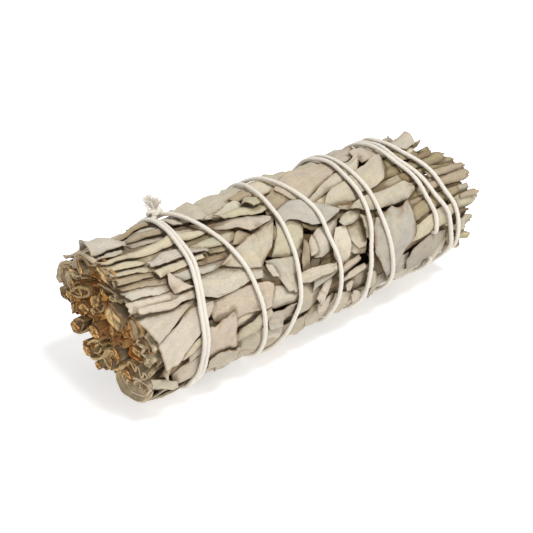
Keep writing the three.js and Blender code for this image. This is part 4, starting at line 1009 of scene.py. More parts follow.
def leafColours(leaf, random, under, depth):
    # one leaf's colour from root to tip and across, with its brown rim, and painted shade where it lies
    # covered, deep or rolled
    base = np.array(tones[leaf["tone"]]) * random.uniform(0.955, 1.035) + random.uniform(-0.005, 0.005, 3)
    base = base + np.array([0.008, 0.0, -0.012]) * random.uniform(-0.7, 0.8)
    share = leaf["share"]
    across = leaf["across"]
    colour = np.broadcast_to(base, share.shape + (3,)).copy()
    warm = 0.5 + 0.5 * waves(random, share + 0.3 * across, 3, 1.1)
    colour += warm[..., None] * np.array([0.01, 0.002, -0.012])
    midrib = np.exp(-((across / 0.08) ** 2)) * (leaf["wide"] > 3.5)
    colour += midrib[..., None] * np.array([0.02, 0.016, 0.0])
    edge = np.maximum(smoothStep(0.93, 1.0, np.abs(across)), smoothStep(0.985, 1.0, share))
    edge = np.maximum(edge, 1 - smoothStep(0.0, 0.02, share))
    patch = smoothStep(-0.5, 0.7, waves(random, share * 1.7 + across, 4, 1.0))
    amount = edge * (0.3 + 0.65 * patch) * random.uniform(0.45, 1.0)
    spread = 0.4 * smoothStep(0.8, 1.0, np.maximum(np.abs(across), share)) * patch * (random.uniform() < 0.3)
    amount = np.clip(amount + spread, 0, 1)[..., None]
    colour = np.clip(colour * (1 - amount) + np.array(edgeBrown) * amount, 0.02, 1)
    # painted shade: darker in the crevices where another leaf covers this one, in deep gaps, and towards the
    # edges of rolled leaves
    paintedShade = 0.22 * smoothStep(0.5, 1.8, under) + 0.22 * smoothStep(1.4, 2.6, depth)
    paintedShade = paintedShade + 0.2 * leaf["rolled"] * smoothStep(0.3, 1.0, np.abs(across))
    colour = colour * (1 - paintedShade[..., None] * np.array([0.88, 1.0, 1.18]))
    return linearColour(np.clip(colour, 0.02, 1))


def stemOf(across, height):
    # which leafy stem a place in the cross-section belongs to
    powers = [(y - across) ** 2 + (z - height) ** 2 - radius ** 2 for y, z, radius in stems]
    return int(np.argmin(powers))


def stemUnder(along, angle):
    # which leafy stem a leaf lies over
    size = coreRadius(along, 90.0) / coreRadius(-46.0, 90.0)
    radius = (coreRadius(along, angle) - 1.2) / size
    return stemOf(-radius * math.cos(angle * degree), radius * math.sin(angle * degree))


def ownTop(radius):
    # a blade's own highest point near each of its points
    padded = np.pad(radius, 1, mode="edge")
    top = radius
    for row in range(3):
        for column in range(3):
            top = np.maximum(top, padded[row:row + radius.shape[0], column:column + radius.shape[1]])
    return top


def buildLeaves(heap, press, leafParts):
    random = np.random.default_rng(seeds["leaves"])
    buried = 0
    cover = widened(heights, 1)
    for leaf in laid:
        along = leaf["along"]
        angle = leaf["angle"]
        if (fieldAt(heights, along, angle) - leaf["radius"]).min() > blade["buried"]:
            buried += 1
            continue
        core = coreRadius(along, angle)
        radius = compressed(leaf["radius"], along, angle, fieldAt(heap, along, angle))
        radius = core + (radius - core) * fieldAt(press, along, angle)
        standing = 1 - leaf["share"] if leaf["raised"] > 0 else leaf["share"]
        radius = radius + abs(leaf["raised"]) * standing ** 1.5 * (1 - 0.9 * leaf["across"] ** 2)
        points = place(along, angle, radius)
        points[..., 2] = np.maximum(points[..., 2], 0.25 * millimetre)
        edge = np.maximum(np.abs(leaf["across"]), np.abs(2 * leaf["share"] - 1))
        thickness = blade["thickness"] - blade["thinner"] * smoothStep(0.8, 1.0, edge)
        solid, faces = sheetSolid(points, thickness)
        under = fieldAt(cover, along, angle) - ownTop(leaf["radius"])
        colours = leafColours(leaf, random, under, envelope(along, angle) - radius).reshape(-1, 3)
        places = np.stack([leaf["share"] * leaf["long"], leaf["across"] * leaf["wide"] / 2,
                           np.full_like(along, 40 * leaf["seed"])], axis=-1).reshape(-1, 3)
        owner = stemUnder(float(np.clip(along[0].mean(), -43, 34)), float(angle[0].mean()))
        leafParts[owner].add(solid, faces, np.tile(colours, (2, 1)), np.tile(places, (2, 1)))
    print(buried, "leaves are out of sight and left out")


# The ends: folded leaves and stems packed side by side, cut across
ends = {
    "heartwood": (0.65, 0.46, 0.235),
    "paintedShade": (0.265, 0.17, 0.078),  # painted shade: the colour that the folds darken to, down between them
    "warmth": (1.04, 0.95, 0.77),  # of the cut leaves' colour at the stem end
    "topShort": 8.0,  # the tips along the top end that much sooner
    "lowShort": 2.4,  # and so do the lowest folds at both ends
    "behindShort": 5.0,  # and those low down and behind at the stem end
    "held": 19.5,  # how far out a fold may reach at its cut edge
    "heldIn": 2.7,  # and how much less behind it, under the outside leaves
    "crumbReach": 13.5,
    "stems": {"count": 84, "size": (1.0, 2.2), "radius": 17.3, "depth": 10.0, "spread": 0.9,
              "ragged": 0.22, "crumbs": 70, "cut": -48.0, "limits": (-50.8, -45.6),
              "tones": ("gray", "tan", "pink", "tan", "gray", "green")},
    "tips": {"count": 120, "size": (0.9, 1.7), "radius": 15.4, "depth": 10.0, "spread": 2.6, "ragged": 0.5,
             "tones": ("olive", "green", "tan", "yellow", "gray"), "cut": 45.0, "limits": (39.0, 50.0)},
}

# Stems that stand out at the cut face: across, height, radius, where they end, share of pith
cutStems = [
    (6.3, 14.7, 1.9, -50.8, 0.35), (-2.2, 17.2, 2.6, -50.0, 0.0), (-7.0, 8.5, 3.5, -50.8, 0.2),
    (-13.3, 9.0, 2.5, -50.2, 0.5), (1.5, -1.0, 1.8, -50.9, 0.3), (10.5, -5.3, 1.5, -50.6, 0.2),
    (4.8, -8.6, 1.8, -51.2, 0.0), (-16.2, 5.0, 1.9, -47.9, 0.45), (1.2, 8.0, 1.6, -50.4, 0.3),
    (12.8, 2.6, 1.4, -50.5, 0.4), (7.7, 6.8, 1.7, -50.4, 0.25), (12.2, -1.1, 1.3, -50.0, 0.0),
    (6.6, 2.4, 1.5, -50.3, 0.5), (-6.0, -3.3, 2.0, -49.8, 0.0), (-3.2, -8.0, 1.7, -49.8, 0.3),
    (-12.6, 1.2, 1.6, -48.4, 0.4), (10.4, 10.6, 1.4, -50.3, 0.3), (3.4, 3.4, 1.2, -49.8, 0.0),
    (-9.0, -7.6, 1.4, -48.8, 0.3), (3.6, -13.2, 1.3, -49.2, 0.3), (-1.6, 11.6, 1.3, -49.8, 0.0),
    (-4.2, 2.4, 1.5, -49.6, 0.2), (11.2, 6.6, 1.2, -50.1, 0.0),
]

# Folded leaves that curl between and round them: tone, where they end, the middle of the curl, half its
# length and half its width, how far it leans, the angles it runs between, and its size at the far end
# as a share
cutCurls = [
    ("pale", -50.2, (4.0, 12.0), (7.8, 7.4), 0, (115, -20), 0.85),
    ("tan", -50.4, (5.2, 14.6), (4.1, 3.8), 0, (130, -80), 0.8),
    ("gray", -50.2, (11.0, 4.0), (8.2, 8.4), 0, (80, -12), 0.88),
    ("tan", -50.4, (12.4, 6.5), (4.8, 4.6), 0, (100, -50), 0.6),
    ("gray", -50.6, (10.6, 7.2), (3.6, 3.2), 0, (110, -75), 0.6),
    ("brown", -50.6, (14.8, 1.7), (2.2, 2.0), 0, (105, -170), 0.5),
    ("olive", -50.6, (7.2, 7.0), (5.6, 1.3), 145, (-160, 160), 0.95),
    ("olive", -49.8, (-4.4, 13.6), (5.4, 0.9), 170, (-150, 100), 1.0),
    ("brown", -50.6, (8.6, -3.8), (4.2, 1.5), -38, (-150, 150), 1.0),
    ("green", -50.8, (1.4, -6.2), (5.0, 2.1), -42, (-160, 130), 0.95),
    ("gray", -50.0, (-4.4, -6.0), (3.8, 2.3), -35, (130, -150), 1.0),
    ("gray", -48.2, (-9.6, -11.4), (7.0, 3.6), -20, (60, -185), 0.95),
    ("pale", -48.0, (-12.1, -9.8), (4.6, 1.9), 154, (-175, 165), 1.0),
    ("tan", -48.2, (-8.0, -1.5), (10.0, 6.6), -10, (-75, -165), 1.0),
]

# Others that are pleated: tone, where they end, from where to where, how many pleats and how deep they are
cutPleats = [
    ("gray", -48.4, (-6.8, -5.0), (-17.5, -3.6), 3.0, 1.1),
    ("green", -48.2, (-13.6, 5.6), (-17.6, -0.6), 2.5, 1.4),
    ("gray", -47.6, (-16.8, 8.6), (-18.4, 1.5), 1.5, 0.9),
    ("pale", -49.6, (-5.2, 19.3), (-6.6, 15.7), 1.0, 0.5),
]


def curlLine(middle, half, lean, angles, farSize):
    # the cut edge of a curled leaf
    turn = np.linspace(*angles, 40) * degree
    size = np.linspace(1, farSize, 40)
    across, up = turned((half[0] * size * np.cos(turn), half[1] * size * np.sin(turn)), lean * degree)
    return np.stack([middle[0] + across, middle[1] + up], axis=1)


def pleatLine(start, stop, count, depth):
    # the cut edge of a pleated leaf
    way = np.subtract(stop, start)
    side = np.array([-way[1], way[0]]) / math.hypot(*way)
    share = np.linspace(0, 1, 40)[:, None]
    return start + way * share + side * depth * np.sin(2 * math.pi * count * share)


def cutFolds():
    # tone, where it ends, the line of its cut edge, and if smaller folds lie inside it
    curls = [(tone, tip, curlLine(*shape), True) for tone, tip, *shape in cutCurls]
    return curls + [(tone, tip, pleatLine(*shape), shape[2] > 2) for tone, tip, *shape in cutPleats]


def packedCircles(random, end, fixed):
    # circles pushed apart until they lie side by side in the bundle's cross-section
    count = end["count"]
    spread = end["radius"] * np.sqrt(random.uniform(0, 1, count))
    turn = random.uniform(0, 2 * math.pi, count)
    centres = np.stack([spread * np.cos(turn), spread * np.sin(turn)], axis=1)
    sizes = random.uniform(*end["size"], count)
    fixedCentres = np.array([stem[:2] for stem in fixed]).reshape(-1, 2)
    fixedSizes = np.array([stem[2] + 0.3 for stem in fixed])
    if fixed:
        folds = np.concatenate([line[::8] for tone, tip, line, inside in cutFolds()])
        fixedCentres = np.concatenate([fixedCentres, folds])
        fixedSizes = np.concatenate([fixedSizes, np.full(len(folds), 0.4)])
    for _ in range(160):
        allCentres = np.concatenate([centres, fixedCentres])
        allSizes = np.concatenate([sizes, fixedSizes])
        apart = centres[:, None] - allCentres[None]
        distance = np.linalg.norm(apart, axis=2) + 1e-6
        overlap = np.clip(sizes[:, None] + allSizes[None] - distance, 0, None)
        overlap[np.arange(count), np.arange(count)] = 0
        centres = centres + (apart / distance[..., None] * overlap[..., None] * 0.4).sum(axis=1)
        out = np.linalg.norm(centres, axis=1)
        limit = end["radius"] - 0.5 * sizes
        centres = centres * np.minimum(1, limit / np.maximum(out, 1e-6))[:, None]
    return centres, sizes


def foldProfile(random, size):
    # one folded leaf seen from its end
    kind = random.choice(["roll", "fold", "wave", "fold", "tube", "loop"])
    t = np.linspace(0, 1, 26)
    if kind == "roll":
        turn = t * random.uniform(6.5, 9)
        out = size * (0.3 + 0.7 * t)
        x = out * np.cos(turn)
        y = out * np.sin(turn)
    elif kind == "fold":
        turn = (t - 0.5) * random.uniform(4.2, 5.6)
        x = size * 0.9 * np.cos(turn) * (0.35 + 0.65 * np.abs(2 * t - 1))
        y = size * np.sin(turn)
    elif kind == "wave":
        x = size * 1.25 * (2 * t - 1)
        y = size * 0.7 * np.sin(2 * math.pi * t * random.uniform(1.0, 1.6) + random.uniform(0, 6))
    elif kind == "loop":
        turn = t * 2 * math.pi * 0.92
        x = size * 1.1 * np.cos(turn)
        y = size * 0.42 * np.sin(turn) + size * 0.3 * np.cos(turn) ** 2
    else:
        turn = t * 5.6
        x = size * 0.9 * np.cos(turn)
        y = size * 0.9 * np.sin(turn)
    y = y * random.uniform(0.6, 1)
    jitter = 0.11 * size
    x = x + jitter * waves(random, t * 2, 6, 1)
    y = y + jitter * waves(random, t * 2, 6, 1)
    return x, y


def endPlace(along, y, z):
    # position in the model of a place in a cross-section, in metres
    x = along + bundle["planShift"][0]
    return np.stack([x, y + bundle["planShift"][1], bundle["axisHeight"] + z], axis=-1) * millimetre


def addFold(random, end, y, z, profile, tip, tone, outwards, parts, thickness=0.45, browning=None):
    # one folded leaf along the bundle, with its cut edge at the end face
    steps = np.array([0, 0.2, 0.6, 1.2, 2.0, 3.5, 6.0, end["depth"]])
    profileY, profileZ = profile
    ragged = end["ragged"] * waves(random, np.linspace(0, 2, len(profileY)), 4, 1.4)
    along = tip - outwards * steps[:, None] + ragged[None, :] * (1 - steps[:, None] / end["depth"]) ** 2
    swell = 1 + 0.12 * np.sin(steps / 2.5 + random.uniform(0, 6))[:, None]
    lean = random.uniform(-0.05, 0.05, 2)
    drawn = 1 - 0.027 * steps[:, None] * smoothStep(9, 16, math.hypot(y, z))
    pointY = (y + profileY[None, :] * swell) * drawn + lean[0] * steps[:, None]
    pointZ = (z + profileZ[None, :] * swell) * drawn + lean[1] * steps[:, None]
    # kept under the outside leaves
    held = ends["held"] - ends["heldIn"] * smoothStep(0.5, 2.6, steps)[:, None]
    held = np.minimum(1, held / np.maximum(np.hypot(pointY, pointZ), 1e-6))
    pointY = pointY * held
    pointZ = pointZ * held
    points = endPlace(along, pointY, pointZ)
    solid, faces = sheetSolid(points, np.full(along.shape, thickness))
    inside = 1 - smoothStep(11.5, 15.0, np.hypot(pointY, pointZ))[..., None]
    warmth = 1 + (np.array(ends["warmth"]) - 1) * (0.35 + 0.65 * inside) * (outwards < 0)
    colour = tone * warmth
    colour += 0.05 * waves(random, np.linspace(0, 3, len(profileY)), 4, 1)[None, :, None]
    browning = random.uniform(0, 0.7) if browning is None else browning
    cut = np.clip(1.2 - steps / 0.35, 0, 1)[:, None, None] * browning
    colour = colour * (1 - cut) + np.array(edgeBrown) * cut
    # painted shade: at the stem end the folds darken towards the shade colour the further in from the cut
    # they go and the nearer the middle of the bundle; at the tip end they are darker near the middle
    deepShade = 0.3 + 0.7 * inside
    paintedDark = 0.85 * deepShade * smoothStep(0.8, 4.0, steps)[:, None, None] if outwards < 0 else 0.3 * inside
    colour = colour * (1 - paintedDark) + paintedDark * np.array(ends["paintedShade"])
    colours = linearColour(np.clip(colour, 0.02, 1)).reshape(-1, 3)
    flat = np.zeros_like(along)
    places = np.stack([along, profileY[None, :] + flat, profileZ[None, :] + flat], axis=-1).reshape(-1, 3)
    parts.add(solid, faces, np.tile(colours, (2, 1)), np.tile(places, (2, 1)))


def addCrumbs(end, leafParts):
    # bits of leaf and bark caught between the cut stems
    random = np.random.default_rng(seeds["crumbs"])
    for _ in range(end["crumbs"]):
        spread = ends["crumbReach"] * math.sqrt(random.uniform())
        turn = random.uniform(0, 6.3)
        y = spread * math.cos(turn)
        z = spread * math.sin(turn)
        size = random.uniform(0.5, 1.3)
        u, v = np.meshgrid(np.linspace(-1, 1, 6), np.linspace(-1, 1, 5), indexing="ij")
        outline = size * (1 + 0.25 * waves(random, u + v, 3, 2.0))
        bent = random.uniform(-0.9, 0.9) * size * (u ** 2 + random.uniform(-1, 1) * u * v)
        flake = np.stack([bent, outline * u, outline * v * random.uniform(0.35, 0.9)], axis=-1)
        first = random.normal(0, 1, 3) + (0.6, 0, 0)
        first = first / np.linalg.norm(first)
        second = np.cross(first, random.normal(0, 1, 3))
        second = second / np.linalg.norm(second)
        flake = flake @ np.array([first, second, np.cross(first, second)])
        low = smoothStep(0, 6, -z)
        along = end["cut"] - random.uniform(-0.6, 2.2) + 3.5 * low + flake[..., 0]
        points = endPlace(along, y + flake[..., 1], z + flake[..., 2])
        solid, faces = sheetSolid(points, np.full(u.shape, 0.22))
        tone = np.array(ends["heartwood"]) * (1 - 0.7 * low) + np.array(tones["olive"]) * 0.7 * low
        tone = tone * random.uniform(0.55, 1.15) + random.uniform(-0.03, 0.03, 3)
        colours = linearColour(np.clip(tone, 0.02, 1))
        leafParts[stemOf(y, z)].add(solid, faces, colours, np.tile(flake.reshape(-1, 3), (2, 1)))


def turned(profile, angle):
    y, z = profile
    return y * math.cos(angle) - z * math.sin(angle), y * math.sin(angle) + z * math.cos(angle)


def addPackedFolds(random, end, fixed, leafParts, outwards):
    # folded leaves side by side
    centres, sizes = packedCircles(random, end, fixed)
    for (y, z), size in zip(centres, sizes):
        out = math.hypot(y, z)
        if out > 9:
            spin = math.atan2(z, y) + math.pi / 2 + random.uniform(-0.5, 0.5)
        else:
            spin = random.uniform(0, 6.3)
        profile = turned(foldProfile(random, size), spin)
        tip = float(np.clip(end["cut"] + random.normal(0, end["spread"]), *end["limits"]))
        low = ends["lowShort"] * smoothStep(7, 14, -z)
        lowBehind = ends["behindShort"] * smoothStep(-3, 5, y) * smoothStep(0, 6, -z)
        tip = tip - outwards * (low if outwards > 0 else max(low, lowBehind))
        if outwards > 0:
            tip = tip - ends["topShort"] * smoothStep(2, 11, z)
        elif out > 11:
            tip = max(tip, float(cutRim(math.atan2(z, -y) / degree)) - 0.5)
        tone = np.array(tones[end["tones"][random.integers(len(end["tones"]))]]) * random.uniform(0.88, 1.05)
        warm = random.uniform(0.35, 1.0) * (outwards < 0) * (1 - 0.55 * smoothStep(5, 12, -z))
        warm = warm * (1 - smoothStep(11, 14.5, out))
        tone = 1.15 * (tone * (1 - warm) + np.array(ends["heartwood"]) * warm)
        addFold(random, end, y, z, profile, tip, tone, outwards, leafParts[stemOf(y, z)])


def addHandFolds(random, end, leafParts, outwards):
    # the curls and pleats as listed, some with smaller folds inside them
    for tone, tip, line, inside in cutFolds():
        y, z = line.mean(axis=0)
        profile = (line[:, 0] - y, line[:, 1] - z)
        colour = np.array(tones[tone]) * random.uniform(1.0, 1.1)
        addFold(random, end, y, z, profile, tip, colour * 0.98, outwards, leafParts[stemOf(y, z)], 0.55, 0.25)
        innerSizes = (0.74, 0.48) if inside else ()
        for size in innerSizes:
            inner = turned(profile, random.uniform(-0.35, 0.35))
            inner = (inner[0] * size, inner[1] * size)
            addFold(random, end, y, z, inner, tip + random.uniform(0.1, 1.3),
                    colour * random.uniform(0.85, 1.1), outwards, leafParts[stemOf(y, z)], 0.45,
                    random.uniform(0, 0.6))


def addLeafBases(random, end, fixed, leafParts, outwards):
    # what is left of leaves that still hug their stem
    for stem in fixed:
        y, z, radius, tip = stem[:4]
        for layer in range(random.integers(1, 3)):
            span = random.uniform(2.2, 4.6)
            turn = random.uniform(0, 6.3) + np.linspace(0, span, 26)
            size = radius * (1.12 + 0.05 * layer) + 0.32 + 0.35 * layer
            profile = (size * np.cos(turn), size * np.sin(turn) * 0.94)
            tone = np.array(tones[("gray", "tan", "green")[random.integers(3)]]) * random.uniform(0.9, 1.03)
            warm = random.uniform(0.2, 0.9) * (1 - 0.6 * smoothStep(5, 12, -z))
            tone = tone * (1 - warm) + np.array(ends["heartwood"]) * warm
            addFold(random, end, y, z, profile, tip + random.uniform(0.2, 1.8), tone, outwards,
                    leafParts[stemOf(y, z)], 0.4)


def buildEndFolds(name, fixed, leafParts, outwards):
    end = ends[name]
    random = np.random.default_rng(seeds["folds"] + len(name))
    addPackedFolds(random, end, fixed, leafParts, outwards)
    if fixed:
        addHandFolds(random, end, leafParts, outwards)
        addLeafBases(random, end, fixed, leafParts, outwards)


def stemOutline(random, turn):
    # ridged and a little flat, for a stem of radius 1
    ridge = (1 + 0.07 * np.cos(4 * turn + random.uniform(0, 6))
             + 0.04 * np.cos(9 * turn + random.uniform(0, 6)))
    squash = random.uniform(0.72, 1.0)
    lean = random.uniform(0, math.pi)
    across = np.cos(turn) * ridge
    upward = np.sin(turn) * ridge * squash
    return turned((across, upward), lean)


def addCapped(parts, rings, tints):
    # rings of points joined to a closed tube, with a fan of triangles at each end
    count, sides = rings.shape[:2]
    flat = rings.reshape(-1, 3)
    index = np.arange(len(flat)).reshape(count, sides)
    middle = len(flat)
    nearFan = [(middle, index[0, k], index[0, (k + 1) % sides]) for k in range(sides)]
    farFan = [(middle + 1, index[-1, (k + 1) % sides], index[-1, k]) for k in range(sides)]
    points = np.concatenate([flat, [rings[0].mean(axis=0), rings[-1].mean(axis=0)]])
    tint = np.concatenate([np.array(tints).reshape(-1, 3), tints[0][:1], tints[-1][:1]])
    parts.add(points, gridFaces(count, sides, wrap=True), tint, points / millimetre)
    first = parts.count - len(points)
    parts.faces.append(np.array(nearFan) + first)
    parts.faces.append(np.array(farFan) + first)


def buildCutStem(random, y, z, radius, tip, inward, stemParts, pith, woodTone=1.0):
    # a woody stem: ridged bark, and a rough cut face with its pith
    sides = 32
    turn = np.arange(sides) / sides * 2 * math.pi
    shapeY, shapeZ = stemOutline(random, turn)
    slope = random.uniform(-0.4, 0.4, 2)
    cracks = random.uniform(0, 2 * math.pi, 7)
    fromCrack = np.abs((turn[:, None] - cracks + math.pi) % (2 * math.pi) - math.pi).min(axis=1)
    crack = np.exp(-(fromCrack / 0.13) ** 2)
    face = [(size, "wood") for size in (0.12, 0.27, 0.42, 0.57, 0.72, 0.85)] + [(0.95, "rim"), (1.02, "bark")]
    pale = random.uniform(0, 1)
    colours = {
        "pith": (0.52, 0.40, 0.28),
        "wood": (0.79 - 0.02 * pale, 0.585 + 0.08 * pale, 0.33 + 0.13 * pale),
        "rim": (0.38, 0.23, 0.12),
        "bark": (0.56, 0.46, 0.34),
    }
    points = []
    tints = []
    lumps = waves(random, turn / 6.283, 4, 1.0)
    for size, kind in face:
        isPith = size < pith
        if isPith:
            kind = "pith"
        rough = 0.16 * waves(random, turn / 6.283 + size, 6, 1.0) + 0.15 * lumps + 0.3 * crack * (size > 0.3)
        rough = rough * size ** 0.5 + (0.45 if isPith else 0)
        if kind in ("rim", "bark"):
            rough = rough * 0.6 + 0.05
        tilt = radius * size * (slope[0] * shapeY + slope[1] * shapeZ)
        along = tip + inward * (rough + tilt + (0.3 if kind == "bark" else 0))
        points.append(endPlace(along, y + radius * size * shapeY, z + radius * size * shapeZ))
        streaks = 1 + 0.16 * waves(random, turn / 6.283 + size * 0.3, 5, 1.0)
        tint = np.array(colours[kind]) * streaks[:, None] * woodTone
        tint = tint * (1 - 0.45 * crack[:, None] * (kind == "wood"))
        tint = tint * (1 + 0.12 * math.sin(15 * size + 6 * pale))
        tints.append(linearColour(np.clip(tint, 0.02, 1)))
    for size, back in ((1.0, 1.2), (0.99, 3.0), (0.98, 6.0), (0.96, 13.0)):
        tilt = 0.3 * radius * size * (slope[0] * shapeY + slope[1] * shapeZ)
        along = tip + inward * (back + tilt)
        drawn = 1 - 0.02 * back * smoothStep(10, 16, math.hypot(y, z))
        points.append(endPlace(along, y * drawn + radius * size * shapeY, z * drawn + radius * size * shapeZ))
        # painted shade: the bark darkens the further back it runs into the bundle, except near the bundle's
        # outside
        paintedDark = smoothStep(1.0, 4.5, back) * (1 - smoothStep(13.5, 17.5, math.hypot(y, z)))
        bark = (np.array(colours["bark"]) + (0.06, 0.1, 0.1)) * (1 - paintedDark * np.array([0.68, 0.75, 0.82]))
        tints.append(linearColour(bark * random.uniform(0.93, 1.05, (sides, 1))))
    points = np.array(points)
    if inward > 0:
        points = points[:, ::-1]
        tints = [tint[::-1] for tint in tints]
    addCapped(stemParts[stemOf(y, z)], points, tints)


def buildStems(stemParts):
    random = np.random.default_rng(seeds["stems"])
    for y, z, radius, tip, pith in cutStems:
        buildCutStem(random, y, z, radius, tip, 1, stemParts, pith)
    # the stems of the bundle come out thinner and closer together at the tips
    size = coreRadius(42.0, 90.0) / coreRadius(-46.0, 90.0)
    for y, z, radius in stems:
        tip = ends["tips"]["cut"] + random.uniform(-2.0, 5.0)
        buildCutStem(random, y * size, z * size, radius * 0.55, tip, -1, stemParts, 0.3, 0.9)


def buildInside(material):
    # the pressed leaves deep inside, crumpled, seen only down the gaps, coloured dark as painted shade
    parts = MeshParts()
    alongs = np.linspace(bundle["stemEnd"] + 3.5, bundle["tipEnd"] - 5, 90)
    angles = np.arange(0, 360, 3.0)
    along, angle = np.meshgrid(alongs, angles, indexing="ij")
    random = np.random.default_rng(seeds["inside"])
    rough = 0.25 * waves(random, angle / 18, 6, 1) + 0.15 * waves(random, along / 7 + angle / 40, 4, 1)
    radius = coreRadius(along, angle) - 0.55 + rough
    points = place(along, angle, radius)
    quads = gridFaces(len(alongs), len(angles), wrap=True)
    # painted shade: the inside takes the dark deep-shade tone
    colour = linearColour(np.array(tones["deepShade"]) * 1.1)
    parts.add(points, quads, colour, points.reshape(-1, 3) / millimetre)
    index = np.arange(len(alongs) * len(angles)).reshape(len(alongs), len(angles))
    parts.faces.append(index[:1])
    parts.faces.append(index[-1:, ::-1])
    return parts.piece("pressed_inside", material)


def tubePoints(centres, radii, sides, lobes=0, twist=1.0, depth=0.0, length=None):
    # rings of points round a path, which may be twisted into lobes
    ahead = np.gradient(centres, axis=0)
    ahead /= np.linalg.norm(ahead, axis=1, keepdims=True)
    side = np.zeros_like(centres)
    up = np.array([0.3, 0.5, 0.81])
    for k in range(len(centres)):
        up = up - ahead[k] * (up @ ahead[k])
        up = up / np.linalg.norm(up)
        side[k] = up
    other = np.cross(ahead, side)
    turn = np.arange(sides) / sides * 2 * math.pi
    rings = np.broadcast_to(np.asarray(radii).reshape(-1, 1), (len(centres), sides)).copy()
    if lobes:
        phase = lobes * (turn[None, :] - 2 * math.pi * length[:, None] / twist)
        rings = rings * (1 - depth + depth * np.abs(np.cos(phase / 2)) ** 0.7)
    cosine = np.cos(turn)[None, :, None]
    sine = np.sin(turn)[None, :, None]
    return centres[:, None] + rings[..., None] * (side[:, None] * cosine + other[:, None] * sine)


def addTube(parts, rings, colour, places=None):
    # a closed tube with flat ends
    count, sides = rings.shape[:2]
    quads = gridFaces(count, sides, wrap=True)
    flat = rings.reshape(-1, 3)
    parts.add(flat, quads[:, ::-1], colour, flat / millimetre if places is None else places)
    first = parts.count - len(flat)
    index = np.arange(len(flat)).reshape(count, sides) + first
    parts.faces.append(index[:1, ::-1])
    parts.faces.append(index[-1:])


def knotPoints(centre, outward, along, size):
    # an overhand knot drawn up tight
    side = np.cross(outward, along)
    t = np.linspace(0, 2 * math.pi, 90)
    a = (np.sin(t) + 2 * np.sin(2 * t)) * size
    b = (np.cos(t) - 2 * np.cos(2 * t)) * size * 0.8
    c = -np.sin(3 * t) * size * 0.8
    return centre + a[:, None] * along + b[:, None] * side + c[:, None] * outward


def addKnot(random, parts, fromAxis, colour):
    # the knot, and two short frayed tails that stand up from it
    centre = place(cotton["knotAlong"], cotton["knotAngle"], fromAxis)
    outward = place(0, cotton["knotAngle"], 1.0) - place(0, cotton["knotAngle"], 0.0)
    outward = outward / np.linalg.norm(outward)
    alongWay = np.array([1.0, 0, 0])
    knot = knotPoints(centre, outward, alongWay, cotton["knotSize"] * millimetre)
    knotLength = np.arange(len(knot)) * 0.3
    knotRadius = cotton["knotString"] * millimetre
    addTube(parts, tubePoints(knot, knotRadius, 14, cotton["strands"], 4.0, 0.15, knotLength), colour)
    sideWay = np.cross(outward, alongWay)
    # painted light: the tails are coloured brighter than the string, against the shade among their close
    # fibres
    litTailColour = np.minimum(1.15 * colour, 0.95)
    for lean, spread, long, fibres in cotton["tails"]:
        direction = outward + alongWay * lean[0] + sideWay * lean[1]
        direction = direction / np.linalg.norm(direction)
        for _ in range(fibres):
            off = random.normal(0, 1, 3)
            off = off - direction * (off @ direction)
            reach = long * random.uniform(0.55, 1.05)
            t = np.linspace(0, 1, 7)[:, None]
            bend = off * spread * t ** 1.5 * random.uniform(0.3, 1.2) + off * 0.22 * (1 - t)
            curl = np.cross(direction, off) * 0.25 * np.sin(t * random.uniform(2, 6))
            fibre = centre + (direction * t * reach + (bend + curl) * reach * 0.35) * millimetre
            addTube(parts, tubePoints(fibre, cotton["tailFibre"] * millimetre, 4), litTailColour)


def addLooseFibres(random, parts, centres, radii, colour):
    # fibres that stand off the string
    for _ in range(cotton["looseFibres"]):
        k = random.integers(4, len(centres) - 4)
        ahead = centres[k + 2] - centres[k - 2]
        ahead = ahead / np.linalg.norm(ahead)
        off = random.normal(0, 1, 3)
        off = off - ahead * (off @ ahead)
        off = off / np.linalg.norm(off)
        t = np.linspace(0, 1, 5)[:, None]
        reach = random.uniform(0.4, 1.1)
        start = centres[k] + off * radii[k] * 0.8
        fibre = start + (ahead * t * reach + off * np.sin(t * 2.6) * reach * 0.35) * millimetre
        if fibre[:, 2].min() > 0.1 * millimetre:
            addTube(parts, tubePoints(fibre, cotton["looseFibre"] * millimetre, 3), colour)


def buildString(path, material):
    # the wound string with its knot and fibres
    angle, along, radius = path
    centres = place(along, angle, radius)
    step = np.linalg.norm(np.diff(centres, axis=0), axis=1)
    length = np.concatenate([[0], np.cumsum(step)]) / millimetre
    colour = linearColour(cotton["colour"])
    random = np.random.default_rng(seeds["string"])
    parts = MeshParts()
    uneven = 1 + 0.05 * waves(random, length / 9, 6, 1)
    radii = cotton["radius"] * cotton["fuller"] * uneven * millimetre
    sides = cotton["sides"]
    rings = tubePoints(centres, radii, sides, cotton["strands"], cotton["twist"], 0.2, length)
    rings[..., 2] = np.maximum(rings[..., 2], 0.0)
    roundIt = np.tile(np.arange(sides) / sides * 4, len(length))
    places = np.stack([np.repeat(length, sides), roundIt, np.zeros(sides * len(length))], axis=1)
    addTube(parts, rings, colour, places)
    addKnot(random, parts, float(radius[:8].mean()) + cotton["knotStand"], colour)
    addLooseFibres(random, parts, centres, radii, colour)
    print("string is", round(length[-1] / 1000, 3), "m long round the bundle")
    return parts.piece("string_wound", material, 60)


# Materials
class Socket:
    # a value in a node tree, so that shader maths can be written as sums
    def __init__(self, tree, link):
        self.tree = tree
        self.link = link

    def maths(self, operation, other):
        node = self.tree.nodes.new("ShaderNodeMath")
        node.operation = operation
        for slot, value in zip(node.inputs, (self, other)):
            if isinstance(value, Socket):
                self.tree.links.new(value.link, slot)
            else:
                slot.default_value = value
        return Socket(self.tree, node.outputs[0])

    def __add__(self, other):
        return self.maths("ADD", other)

    def __mul__(self, other):
        return self.maths("MULTIPLY", other)


